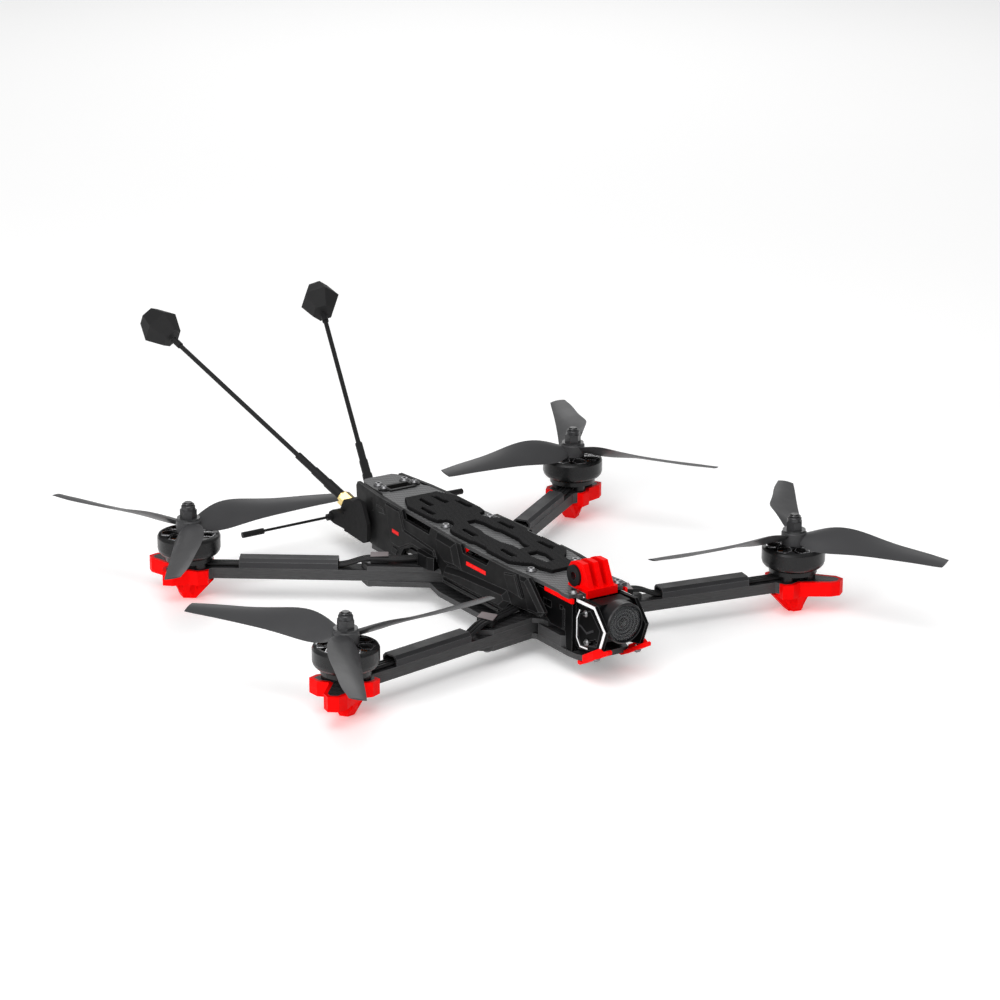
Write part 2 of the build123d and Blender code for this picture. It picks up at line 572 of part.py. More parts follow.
def action_camera_mount():
    """A three-finger mount: a base that hooks over the front of the top plate, and the fingers."""
    base = slab(-9.3, 9.3, -117.2, -99.4, DECK_Z + 0.05, 36.2)
    lip = slab(-9.3, 9.3, -117.2, -115.7, 32.0, 36.2)
    shape = base + lip
    for i in (-1, 0, 1):
        x = i * FINGER_STEP
        shape += side_prism(FINGER_OUTLINE, x - FINGER_T / 2, x + FINGER_T / 2)
    nut_seat = bar_x(*FINGER_PIVOT, NUT_R + FIT_GAP, -20, -NUT_X)
    return shape - nut_seat - bar_x(*FINGER_PIVOT, FINGER_HOLE_R, -20, 20)


def action_camera_nut():
    x = -NUT_X
    ring = bar_x(*FINGER_PIVOT, NUT_R, x - 1.3, x)
    return ring - bar_x(*FINGER_PIVOT, FINGER_HOLE_R, x - 3, x + 2)


# ---- camera -------------------------------------------------------------------------------------
def tilt_screw_point():
    turn = math.radians(TILT_REST)
    return PIVOT[0] + TILT_ARM * math.cos(turn), PIVOT[1] + TILT_ARM * math.sin(turn)


def camera_body():
    front = chamfer(slab(-10.4, 10.4, LENS_Y, -119.9, 11.4, 32.2).edges().filter_by(Axis.Y), 1.5)
    rear = slab(-8, 8, -119.9, -115.5, 15.5, 27.5)
    shape = front + rear
    for y, z in (PIVOT, tilt_screw_point()):
        for side in (1, -1):
            x0, x1 = sorted((side * 9.5, side * (NOSE_X - SKIN_GAP)))
            shape += bar_x(y, z, 2.6, x0, x1)
            x0, x1 = sorted((side * (NOSE_X - 3.4), side * 15))
            shape -= bar_x(y, z, M2_R + RUNNING_GAP, x0, x1)
    return shape


def lens_barrel():
    """The stepped barrel, open at the front, about the lens axis."""
    outline = [(0, 0), (10.2, 0), (10.2, 1.6), (10.9, 2.0), (10.9, 8.2), (10.4, 9.0), (9.9, 9.0), (9.8, 6.4),
               (0, 6.4)]
    barrel = revolve(polygon(outline).moved(Rot(90, 0, 0)), Axis.Z)
    return Pos(0, LENS_Y, LENS_Z) * Rot(90, 0, 0) * barrel


def lens_glass():
    on_base = (Align.CENTER, Align.CENTER, Align.MIN)
    rim = Pos(0, 0, 6.45) * Cylinder(9.7, 1.3, align=on_base)
    dome = rim + Pos(0, 0, 7.75) * Cone(9.7, 6.0, 2.0, align=on_base)
    return Pos(0, LENS_Y, LENS_Z) * Rot(90, 0, 0) * dome


def camera_screws():
    screws = []
    for y, z in (PIVOT, tilt_screw_point()):
        screw = button_screw(M2_R, 1.9, 1.2, 4.6, 1.3)
        screws += left_right(Pos(NOSE_X + NOSE_T + RUNNING_GAP, y, z) * Rot(0, 90, 0) * screw)
    return screws


# ---- tail: antennas and power connector ---------------------------------------------------------
CONNECTOR_Y = 82.0
CONNECTOR_SCREW_X = 9.9
ANTENNA_DIR = (ANTENNA_HEAD - ANTENNA_BASE).normalized()
ANTENNA_LENGTH = (ANTENNA_HEAD - ANTENNA_BASE).length
SMA_LENGTH = 8.0
SMA_FLAT = 8.0
HEAD_R = 11.8


def along_antenna(start):
    return Plane(origin=ANTENNA_BASE + ANTENNA_DIR * start, z_dir=ANTENNA_DIR)


def stacked(start, rings):
    """Round steps along the antenna from a distance: (radius, length) each."""
    shape = Part()
    for r, length in rings:
        shape += extrude(along_antenna(start) * Circle(r), length)
        start += length
    return shape


def sma_connector():
    nut = extrude(along_antenna(1.2) * RegularPolygon(SMA_FLAT / 2, 6, major_radius=False), SMA_LENGTH - 2.4)
    return stacked(-4.0, [(3.1, 5.2)]) + nut + stacked(SMA_LENGTH - 1.2, [(3.4, 1.2)])


def antenna_stem():
    stem_length = ANTENNA_LENGTH - HEAD_R - SMA_LENGTH - 12 - 11 - 14 - 6
    return stacked(SMA_LENGTH, [(2.9, 12), (2.5, 11), (2.1, 14), (1.35, stem_length), (1.9, 6)])


def antenna_head():
    """A faceted housing: two hexagonal frusta, base to base."""
    middle = ANTENNA_LENGTH
    faces = []
    for start, r in ((middle - 10.5, 6.6), (middle, HEAD_R), (middle + 10.5, 6.6)):
        faces.append(along_antenna(start) * RegularPolygon(r, 6))
    return loft(faces[:2], ruled=True) + loft(faces[1:], ruled=True)


POD_END = 130.4
WHIP_Y = 126.5


def antenna_mount():
    """A flexible tail piece: a sloping block across the tail, side cheeks, and two pods for the whips."""
    block_outline = [(105.0, 4.0), (119.0, 4.0), (124.6, 8.6), (118.6, 19.2), (110.0, 21.0), (105.0, 21.0)]
    shape = side_prism(block_outline, -14.4, 14.4) + slab(-11.6, 11.6, 96.0, 105.0, 4.0, 21.0)
    cheek_outline = [(106.2, 5.9), (106.2, 16.6), (101.2, 22.3), (95.3, 27.0), (89.5, 27.2), (87.3, 24.0),
                     (82.9, 15.4), (83.1, 5.3), (87.0, 3.6), (103.6, 4.6)]
    cheek = side_prism(cheek_outline, 18.2, 20.4)
    link = slab(14.2, 20.4, 105.0, 108.0, 4.7, 16.0)
    pod_outline = [(107.3, 4.0), (123.9, 3.9), (128.4, 4.7), (POD_END, 6.4), (POD_END - 1, 9.4), (125.6, 11.7),
                   (122.0, 12.6), (107.3, 12.1)]
    pod = side_prism(pod_outline, 11.6, 17.6) - bar_x(WHIP_Y, 7.4, 2.3, 16.4, 20)
    for piece in (cheek, link, pod):
        shape += left_right(piece)
    hole = extrude(along_antenna(-4.0) * Circle(3.1 + RUNNING_GAP), 9.6)
    nut_room = extrude(along_antenna(1.0) * Circle(5.0), 12)
    return shape - left_right(hole) - left_right(nut_room)


def receiver_whip():
    """A receiver antenna: a thin lead out of the pod and a thicker tube at its end."""
    start, tip = Vector(16.6, WHIP_Y, 7.4), Vector(72.6, 131.4, 4.9)
    along = (tip - start).normalized()
    lead = extrude(Plane(origin=start, z_dir=along) * Circle(0.75), (tip - start).length - 13)
    sleeve = extrude(Plane(origin=tip - along * 13, z_dir=along) * Circle(1.7), 13)
    boot = extrude(Plane(origin=start, z_dir=along) * Circle(1.9), 4)
    return lead + sleeve + boot


def power_connector():
    body = slab(-8.0, 8.0, CONNECTOR_Y - 4.0, CONNECTOR_Y + 4.0, 22.0, DECK_Z)
    flange = slab(-8.4, 8.4, CONNECTOR_Y - 4.8, CONNECTOR_Y + 4.8, DECK_Z, DECK_Z + 0.9)
    for side in (1, -1):
        ear = Pos(side * CONNECTOR_SCREW_X, CONNECTOR_Y, DECK_Z + 0.45) * Cylinder(3.2, 0.9)
        flange += ear
    flange = flange - drill([(CONNECTOR_SCREW_X, CONNECTOR_Y)], 1.1, DECK_Z - 1, DECK_Z + 2)
    socket = slab(-7.0, 7.0, CONNECTOR_Y - 3.0, CONNECTOR_Y + 3.0, 25.0, DECK_Z + 2)
    pin_holes = drill([(PIN_X, CONNECTOR_Y)], PIN_R, 20, 26)
    return body + flange - socket - pin_holes


PIN_X = 3.6
PIN_R = 1.75


def power_contacts():
    pins = []
    for side in (1, -1):
        pin = Pos(side * PIN_X, CONNECTOR_Y, 26.6) * Cylinder(PIN_R, 12.4)
        pins.append(pin - Pos(side * PIN_X, CONNECTOR_Y, 32) * Box(0.5, 5, 4))
    return pins


def power_leads():
    leads = []
    for side in (1, -1):
        x, inner_x = side * PIN_X, side * 1.9
        points = [(x, CONNECTOR_Y, 20.4), (x, CONNECTOR_Y, 14.4), (side * 2.6, 70, 13.4), (inner_x, 40, 13.8),
                  (inner_x, 10, 14.4), (inner_x, -3, 16.8), (inner_x, -10, 16.8)]
        leads.append(round_wire(points, LEAD_R))
    return leads


# ---- electronics --------------------------------------------------------------------------------
STACK_Y = -32.0
STACK_PITCH = 15.25
STACK_POINTS = [(STACK_PITCH, STACK_Y + STACK_PITCH), (STACK_PITCH, STACK_Y - STACK_PITCH)]
ESC_Z = 16.0
FC_Z = 22.0
BOARD_T = 1.6


def board(half_x, half_y, z):
    shape = slab(-half_x, half_x, STACK_Y - half_y, STACK_Y + half_y, z, z + BOARD_T)
    return shape - drill(STACK_POINTS, M3_HOLE_R, z - 1, z + BOARD_T + 1)


def speed_controller():
    shape = board(19.5, 22.0, ESC_Z)
    for i in range(4):
        for side in (1, -1):
            x, y = side * 8.5, STACK_Y - 10.5 + 7 * i
            shape += slab(x - 4, x + 4, y - 2.4, y + 2.4, ESC_Z + BOARD_T, ESC_Z + BOARD_T + 1.0)
    return shape


def flight_controller():
    shape = board(18.0, 18.0, FC_Z)
    shape += slab(-4.5, 4.5, STACK_Y - 4.5, STACK_Y + 4.5, FC_Z + BOARD_T, FC_Z + BOARD_T + 1.2)
    for x in (-11, 11):
        shape += slab(x - 2.5, x + 2.5, STACK_Y - 8, STACK_Y - 1, FC_Z + BOARD_T, FC_Z + BOARD_T + 2.6)
    return shape


def stack_hardware():
    rods = []
    for x, y in STACK_POINTS:
        rod = Pos(0, 0, (MID_Z + 27) / 2) * Cylinder(M3_R, 27 - MID_Z)
        for z0, z1 in ((MID_TOP, ESC_Z), (ESC_Z + BOARD_T, FC_Z), (FC_Z + BOARD_T, 26)):
            rod += Pos(0, 0, (z0 + z1) / 2) * Cylinder(2.5, z1 - z0)
        rods += left_right(Pos(x, y, 0) * rod)
    return rods


def video_transmitter():
    case = slab(-14, 14, 28, 58, 17.2, 26.5)
    fins = [slab(-12.5, 12.5, 31.5 + 4 * i, 33.5 + 4 * i, 25, 27) for i in range(6)]
    return case - fins


def capacitor():
    can = bar_x(68.5, BOTTOM_T + 4.2, 4.1, -10, 10)
    return can - (bar_x(68.5, BOTTOM_T + 4.2, 5, 7.5, 8.3) - bar_x(68.5, BOTTOM_T + 4.2, 3.8, 7.5, 8.3))


# ---- fasteners ----------------------------------------------------------------------------------
def frame_screws():
    screws = []
    deck = button_screw(M3_R, M3_HEAD_R, M3_HEAD_H, 8.0, M3_KEY)
    for x, y in POST_SIDE + [POST_REAR, NOSE_POST]:
        screws += left_right(Pos(x, y, DECK_Z) * deck)
    small = button_screw(0.95, 2.1, 1.5, 5.0, 1.5)
    screws += left_right(Pos(CONNECTOR_SCREW_X, CONNECTOR_Y, DECK_Z + 0.9) * small)
    belly = button_screw(M3_R, M3_HEAD_R, M3_HEAD_H, MID_TOP, M3_KEY)
    for x, y in BOLT_POINTS:
        screws += left_right(Pos(x, y, 0) * Rot(180, 0, 0) * belly)
    motor = button_screw(M3_R, 2.75, M3_HEAD_H, ARM_T + 2.0, M3_KEY)
    for corner in CORNERS:
        for x, y in SCREW_SPOTS:
            screws += left_right(at_corner(corner, Pos(x, y, ARM_Z) * Rot(180, 0, 0) * motor))
    screws += left_right(bumper_site() * button_screw(0.95, 1.9, 1.2, 3.0, 1.3))
    return screws


# ---- assembly -----------------------------------------------------------------------------------
# Blade directions in degrees about each motor's axis, and the sense that each propeller turns in.
PROP_REST = {
    "front_left": (1, 55.9),
    "front_right": (-1, 2.7),
    "rear_left": (-1, 61.5),
    "rear_right": (1, -3.4),
}


def build():
    parts["bottom_plate"] = bottom_plate()
    parts["mid_plate"] = mid_plate()
    parts["top_plate"] = top_plate()
    parts["front_spacer"] = front_spacer()
    parts["frame_standoffs"] = frame_standoffs()
    parts["battery_pad"] = battery_pad()
    keep_pair("side_cover", side_cover())
    keep_pair("nose_plate", nose_plate())
    keep_pair("nose_panel", nose_panel())
    keep_pair("nose_bumper", nose_bumper())
    parts["nose_insert"] = nose_insert()
    parts["action_camera_mount"] = action_camera_mount()
    parts["action_camera_nut"] = action_camera_nut()
    parts["camera_body"] = camera_body()
    parts["lens_barrel"] = lens_barrel()
    parts["lens_glass"] = lens_glass()
    parts["camera_screws"] = camera_screws()
    parts["antenna_mount"] = antenna_mount()
    keep_pair("video_antenna", antenna_stem())
    parts["antenna_heads"] = left_right(antenna_head())
    parts["sma_connectors"] = left_right(sma_connector())
    parts["receiver_whips"] = left_right(receiver_whip())
    parts["power_connector"] = power_connector()
    parts["power_contacts"] = power_contacts()
    parts["power_leads"] = power_leads()
    parts["speed_controller"] = speed_controller()
    parts["flight_controller"] = flight_controller()
    parts["stack_hardware"] = stack_hardware()
    parts["video_transmitter"] = video_transmitter()
    parts["capacitor"] = capacitor()
    parts["motor_wires"] = motor_wires()
    parts["wire_covers"] = []
    parts["motor_bases"] = []
    parts["motor_stators"] = []
    for corner in CORNERS:
        keep_pair("arm_" + corner, arm(corner))
        keep_pair("foot_" + corner, foot(corner))
        keep_pair("motor_bell_" + corner, at_corner(corner, motor_bell()))
        keep_pair("prop_nut_" + corner, at_corner(corner, prop_nut()))
        parts["wire_covers"] += left_right(wire_cover(corner))
        parts["motor_bases"] += left_right(at_corner(corner, motor_base()))
        parts["motor_stators"] += left_right(at_corner(corner, motor_stator()))
    for name, (spin, first) in PROP_REST.items():
        corner, hand = name.split("_")
        x, y = CORNERS[corner][0]
        x = x if hand == "left" else -x
        tips = [first + 120 * i for i in range(3)]
        parts["propeller_" + name] = Pos(x, y, 0) * propeller(spin, tips)
    parts["frame_screws"] = frame_screws()


def write():
    os.makedirs("parts", exist_ok=True)
    for name, shape in parts.items():
        solids = shape if isinstance(shape, (list, tuple)) else [shape]
        solids = [solid for piece in solids for solid in piece.solids()]
        whole = solids[0] if len(solids) == 1 else Compound(children=solids)
        export_step(whole, "parts/" + name + ".step")


build()
write()
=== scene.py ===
import math

import bmesh
import bpy
from mathutils import Matrix, Vector


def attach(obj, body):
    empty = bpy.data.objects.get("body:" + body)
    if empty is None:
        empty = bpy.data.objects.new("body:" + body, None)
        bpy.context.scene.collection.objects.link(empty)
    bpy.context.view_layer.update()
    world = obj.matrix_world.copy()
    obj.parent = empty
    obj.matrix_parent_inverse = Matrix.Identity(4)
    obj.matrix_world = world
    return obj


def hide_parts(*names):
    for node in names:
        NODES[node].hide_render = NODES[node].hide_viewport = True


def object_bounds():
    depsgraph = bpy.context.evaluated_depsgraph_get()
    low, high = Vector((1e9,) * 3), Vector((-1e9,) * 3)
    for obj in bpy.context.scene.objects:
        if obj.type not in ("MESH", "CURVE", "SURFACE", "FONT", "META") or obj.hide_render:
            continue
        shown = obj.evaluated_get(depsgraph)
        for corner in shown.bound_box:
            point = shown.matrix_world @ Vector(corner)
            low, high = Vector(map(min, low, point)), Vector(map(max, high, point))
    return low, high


# Looks of the FPV racing drone. Metres, in the row frame: +Z up, nose along -Y, +X is the drone's left.

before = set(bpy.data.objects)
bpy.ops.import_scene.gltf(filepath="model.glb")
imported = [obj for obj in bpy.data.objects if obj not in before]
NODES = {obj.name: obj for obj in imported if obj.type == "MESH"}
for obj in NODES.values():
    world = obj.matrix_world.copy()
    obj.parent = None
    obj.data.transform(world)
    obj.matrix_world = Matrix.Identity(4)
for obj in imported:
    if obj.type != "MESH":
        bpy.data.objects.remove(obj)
CAD_BOX = [[float(v) for v in corner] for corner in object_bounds()]
MM = 0.001

# ---- driving dimensions (millimetres) -----------------------------------------------------------
CORNERS = {"front_left": (139.8, -95.2), "front_right": (-139.8, -95.2),
           "rear_left": (125.4, 95.2), "rear_right": (-125.4, 95.2)}
PAD_TOP_Z = 36.3
MID_TOP_Z = 11.5
BELL_WINDOWS = 7
WINDOW_CENTRE = (11.2, 0)
WINDOW_OUTLINE = [(7.2, -1.4), (10.6, -4.0), (14.4, -2.4), (14.4, 2.4), (10.6, 4.0), (7.2, 1.4)]
TEETH = 12
STATOR_Z = 20.2
LENS_AXIS = (0.0, -129.1, 23.3)

# ---- colours (linear) ---------------------------------------------------------------------------
CARBON_DECK = (0.115, 0.116, 0.118)
CARBON_ARM = (0.026, 0.026, 0.027)
CARBON_EDGE = (0.052, 0.052, 0.053)
SOFT_BLACK = (0.0032, 0.0032, 0.0035)
NOSE_BLACK = (0.0016, 0.0016, 0.0018)
# The ribs' colour is four times lighter than the pad's, though both are the pad's one rubber: painted light on
# the raised ribs.
RIB_BLACK_PAINTED_LIGHT = (0.0210, 0.0210, 0.0215)
PAD_BLACK = (0.0055, 0.0055, 0.0058)
TPU_RED = (0.900, 0.0006, 0.0006)
MARK_RED = (0.900, 0.0030, 0.0020)
MARK_WHITE = (0.870, 0.870, 0.880)
PROP_GREY = (0.046, 0.046, 0.048)
BELL_BLACK = (0.010, 0.010, 0.0105)
STEEL = (0.210, 0.210, 0.216)
BRASS = (0.830, 0.640, 0.270)
COPPER = (0.550, 0.200, 0.070)
PAPER = (0.960, 0.960, 0.960)

# ---- surface values shared by several materials; the EDGE values paint a highlight on sharp edges (EDGE_R in millimetres) ---
SOFT_SPECULAR = 0.16
EDGE_R = 0.55
EDGE_STRENGTH = 0.75
EDGE_HIGHLIGHT_GREY = (0.085, 0.085, 0.087)


# ---- node helpers -------------------------------------------------------------------------------
class Shader:
    """A material with one Principled shader, built up with short calls. Lengths are millimetres."""

    def __init__(self, name, color, roughness, metallic=0.0, specular=SOFT_SPECULAR):
        self.material = bpy.data.materials.new(name)
        self.material.use_nodes = True
        self.tree = self.material.node_tree
        self.tree.nodes.clear()
        self.out = self.tree.nodes.new("ShaderNodeOutputMaterial")
        self.bsdf = self.tree.nodes.new("ShaderNodeBsdfPrincipled")
        self.tree.links.new(self.bsdf.outputs["BSDF"], self.out.inputs["Surface"])
        self.material.diffuse_color = (*color[:3], 1)
        self.set("Base Color", (*color[:3], 1))
        self.set("Roughness", roughness)
        self.set("Metallic", metallic)
        self.set("Specular IOR Level", specular)
        self.coords = self.tree.nodes.new("ShaderNodeTexCoord")
        self.height = None

    def set(self, name, value):
        self.bsdf.inputs[name].default_value = value
        return self

    def plug(self, socket, value):
        if isinstance(value, bpy.types.NodeSocket):
            self.tree.links.new(value, socket)
        else:
            socket.default_value = value

    def feed(self, name, socket):
        self.tree.links.new(socket, self.bsdf.inputs[name])
        return self

    def math(self, operation, *values):
        node = self.tree.nodes.new("ShaderNodeMath")
        node.operation = operation
        for socket, value in zip(node.inputs, values):
            self.plug(socket, value)
        return node.outputs[0]

    def split(self, vector):
        node = self.tree.nodes.new("ShaderNodeSeparateXYZ")
        self.tree.links.new(vector, node.inputs[0])
        return node.outputs

    def place(self, scale=(1, 1, 1)):
        """The point on the surface in millimetres, times a scale."""
        node = self.tree.nodes.new("ShaderNodeMapping")
        node.inputs["Scale"].default_value = [s / MM for s in scale]
        self.tree.links.new(self.coords.outputs["Object"], node.inputs["Vector"])
        return node.outputs[0]

    def noise(self, scale, detail=3.0, stretch=(1, 1, 1)):
        """Noise from 0 to 1; scale is in features per millimetre."""
        node = self.tree.nodes.new("ShaderNodeTexNoise")
        node.inputs["Scale"].default_value = scale
        node.inputs["Detail"].default_value = detail
        self.tree.links.new(self.place(stretch), node.inputs["Vector"])
        return node.outputs["Fac"]

    def span(self, value, low, high, to_low, to_high):
        node = self.tree.nodes.new("ShaderNodeMapRange")
        for socket, number in zip(node.inputs, (value, low, high, to_low, to_high)):
            self.plug(socket, number)
        return node.outputs[0]

    def blend(self, factor, first, second):
        node = self.tree.nodes.new("ShaderNodeMix")
        node.data_type = "RGBA"
        self.plug(node.inputs["Factor"], factor)
        for socket, color in ((node.inputs[6], first), (node.inputs[7], second)):
            self.plug(socket, color if isinstance(color, bpy.types.NodeSocket) else (*color[:3], 1))
        return node.outputs[2]

    def edges(self, radius, color, strength):
        """Paints a highlight along the sharp edges of the shape, as if light caught them; radius in
        millimetres.
        """
        soft = self.tree.nodes.new("ShaderNodeBevel")
        soft.samples = 4
        soft.inputs["Radius"].default_value = radius * MM
        true = self.tree.nodes.new("ShaderNodeNewGeometry")
        dot = self.tree.nodes.new("ShaderNodeVectorMath")
        dot.operation = "DOT_PRODUCT"
        self.tree.links.new(soft.outputs[0], dot.inputs[0])
        self.tree.links.new(true.outputs["True Normal"], dot.inputs[1])
        mask = self.span(dot.outputs["Value"], 0.999, 0.93, 0.0, strength)
        base = self.bsdf.inputs["Base Color"]
        under = base.links[0].from_socket if base.links else tuple(base.default_value)
        return self.feed("Base Color", self.blend(mask, under, color))

    def bump(self, height, strength, depth):
        """Adds relief: height from 0 to 1, depth in millimetres."""
        node = self.tree.nodes.new("ShaderNodeBump")
        node.inputs["Strength"].default_value = strength
        node.inputs["Distance"].default_value = depth * MM
        self.tree.links.new(height, node.inputs["Height"])
        if self.height is not None:
            self.tree.links.new(self.height, node.inputs["Normal"])
        self.height = node.outputs[0]
        self.tree.links.new(self.height, self.bsdf.inputs["Normal"])
        return self

    def grain(self, color, scale, spread, rough_low, rough_high):
        """Slight colour and roughness variation over the surface."""
        cloud = self.noise(scale, 4.0)
        darker = tuple(c * (1 - spread) for c in color[:3])
        lighter = tuple(min(1, c * (1 + spread)) for c in color[:3])
        self.feed("Base Color", self.blend(cloud, darker, lighter))
        self.feed("Roughness", self.span(cloud, 0.3, 0.7, rough_low, rough_high))
        return self


# ---- materials ----------------------------------------------------------------------------------
def scaled(color, factor):
    return tuple(c * factor for c in color)


def carbon(name, tow, face_color, edge_color, contrast, roughness):
    """Woven carbon plate: a 2x2 twill on its flat faces, stacked plies on its cut edges."""
    m = Shader(name, face_color, roughness)
    x, y, _ = m.split(m.place((1 / tow, 1 / tow, 1 / tow)))
    step = m.math("ADD", m.math("FLOOR", x), m.math("FLOOR", y))
    over = m.math("LESS_THAN", m.math("FLOORED_MODULO", step, 4.0), 1.5)
    crown_x = m.math("SINE", m.math("MULTIPLY", m.math("FRACT", x), math.pi))
    crown_y = m.math("SINE", m.math("MULTIPLY", m.math("FRACT", y), math.pi))
    crown = m.span(over, 0, 1, crown_x, crown_y)
    weave = m.blend(over, scaled(face_color, 1 - contrast), scaled(face_color, 1 + contrast))
    weave = m.blend(m.span(crown, 0, 1, 0.45, 0.0), weave, scaled(face_color, 0.3))
    weave = m.blend(m.span(m.noise(0.09, 3), 0.35, 0.7, 0.0, 0.35), weave, scaled(face_color, 0.7))
    plies = m.noise(1.6, 4, (0.12, 0.12, 3.2))
    dust = m.noise(4.0, 2)
    edge = m.blend(m.span(plies, 0.3, 0.7, 0, 1), scaled(edge_color, 0.7), scaled(edge_color, 1.25))
    edge = m.blend(m.span(dust, 0.4, 0.8, 0, 0.25), edge, scaled(edge_color, 1.7))
    flat = m.math("GREATER_THAN", m.math("ABSOLUTE", m.split(m.coords.outputs["Normal"])[2]), 0.7)
    m.feed("Base Color", m.blend(flat, edge, weave))
    # Painted highlight along the plate's sharp edges.
    m.edges(EDGE_R, scaled(edge_color, 2.4), 0.5)
    m.feed("Roughness", m.span(flat, 0, 1, 0.62, m.span(crown, 0, 1, roughness + 0.1, roughness)))
    relief = m.span(flat, 0, 1, m.span(plies, 0, 1, 0.2, 0.5), crown)
    m.bump(relief, 0.5, 0.12)
    m.set("Coat Weight", 0.06)
    m.set("Coat Roughness", 0.30)
    return m.material


def printed(name, color, roughness=0.5):
    """Flexible printed plastic: fine layers along Z and a slight mottle."""
    m = Shader(name, color, roughness, specular=0.06)
    m.grain(color, 0.35, 0.10, roughness - 0.06, roughness + 0.08)
    height = m.split(m.place())[2]
    layers = m.math("SINE", m.math("MULTIPLY", height, 2 * math.pi / 0.3))
    m.bump(m.span(layers, -1, 1, 0, 1), 0.35, 0.05)
    m.bump(m.noise(3.0, 3), 0.25, 0.04)
    return m.material


def moulded(name, color, roughness=0.55, depth=0.03, specular=0.12, edge_highlight=None):
    """Matte moulded plastic with a fine spark texture, handling marks and, where asked, a painted highlight
    along its sharp edges.
    """
    m = Shader(name, color, roughness, specular=specular)
    m.grain(color, 0.12, 0.14, roughness - 0.07, roughness + 0.07)
    if edge_highlight:
        # Painted highlight along the sharp edges, in the colour passed in.
        m.edges(EDGE_R, edge_highlight, EDGE_STRENGTH)
    m.bump(m.noise(5.0, 2), 0.35, depth)
    return m.material


def metal(name, color, roughness, spread=0.12, scratch=(0.3, 0.3, 6.0)):
    """Bare or plated metal with fine scratches, stretched by the scratch scales."""
    m = Shader(name, color, roughness, 1.0, 0.5)
    m.grain(color, 1.2, spread, roughness - 0.05, roughness + 0.08)
    m.bump(m.noise(2.5, 3, scratch), 0.12, 0.02)
    return m.material


def anodised(name, color, roughness):
    """Black anodised aluminium: mostly a dark dielectric look with a soft coat."""
    m = Shader(name, color, roughness, 0.30, 0.3)
    m.grain(color, 0.6, 0.15, roughness - 0.05, roughness + 0.08)
    m.bump(m.noise(6.0, 2), 0.15, 0.01)
    m.set("Coat Weight", 0.15)
    m.set("Coat Roughness", 0.22)
    return m.material


def blade_plastic(name, color):
    """Glossy smoky propeller plastic with faint flow marks."""
    m = Shader(name, color, 0.42)
    m.grain(color, 0.05, 0.12, 0.36, 0.50)
    m.bump(m.noise(0.4, 3, (0.5, 0.5, 1)), 0.08, 0.05)
    m.set("Coat Weight", 0.12)
    m.set("Coat Roughness", 0.22)
    return m.material


def rubber(name, color, roughness=0.42):
    """Silicone wire or shrink sleeve: satin, with a very light waviness."""
    m = Shader(name, color, roughness)
    m.grain(color, 0.5, 0.18, roughness - 0.08, roughness + 0.08)
    m.bump(m.noise(0.9, 3), 0.18, 0.08)
    return m.material


def ribbed(name, color):
    """Battery pad rubber: dull, with a painted highlight on the crests."""
    m = Shader(name, color, 0.8, specular=0.1)
    m.grain(color, 0.25, 0.25, 0.72, 0.9)
    # Painted highlight along the sharp edges, the ribs' crests among them.
    m.edges(0.3, scaled(color, 3.2), 0.7)
    m.bump(m.noise(4.0, 4), 0.5, 0.05)
    return m.material


def painted_mark(name, color):
    """Thin satin paint with a slight unevenness."""
    m = Shader(name, color, 0.45)
    m.grain(color, 0.8, 0.04, 0.4, 0.5)
    m.bump(m.noise(5.0, 2), 0.1, 0.01)
    return m.material


def plain_dark(name, color, roughness, specular=0.25):
    """Turned and blackened metal deep in a lens: even, with only slight colour variation."""
    m = Shader(name, color, roughness, specular=specular)
    m.grain(color, 0.15, 0.08, roughness - 0.04, roughness + 0.04)
    return m.material


def circuit(name, color):
    """Solder mask with faint tracks under it."""
    m = Shader(name, color, 0.35)
    x, y, _ = m.split(m.place((1 / 1.6, 1 / 1.6, 1)))
    track = m.math("LESS_THAN", m.math("FRACT", m.math("ADD", x, m.span(m.noise(0.08, 1), 0, 1, 0, 3))), 0.4)
    m.feed("Base Color", m.blend(track, color, tuple(c * 1.9 + 0.004 for c in color)))
    m.bump(m.span(track, 0, 1, 0.3, 0.6), 0.3, 0.05)
    return m.material


def coated_glass(name):
    """Thin clear front element: mostly see-through, with a dark tint and a sharp gloss."""
    m = Shader(name, (0.012, 0.014, 0.016), 0.04, specular=0.6)
    m.grain((0.012, 0.014, 0.016), 0.05, 0.15, 0.03, 0.05)
    m.set("Alpha", 0.22)
    m.set("IOR", 1.5)
    return m.material


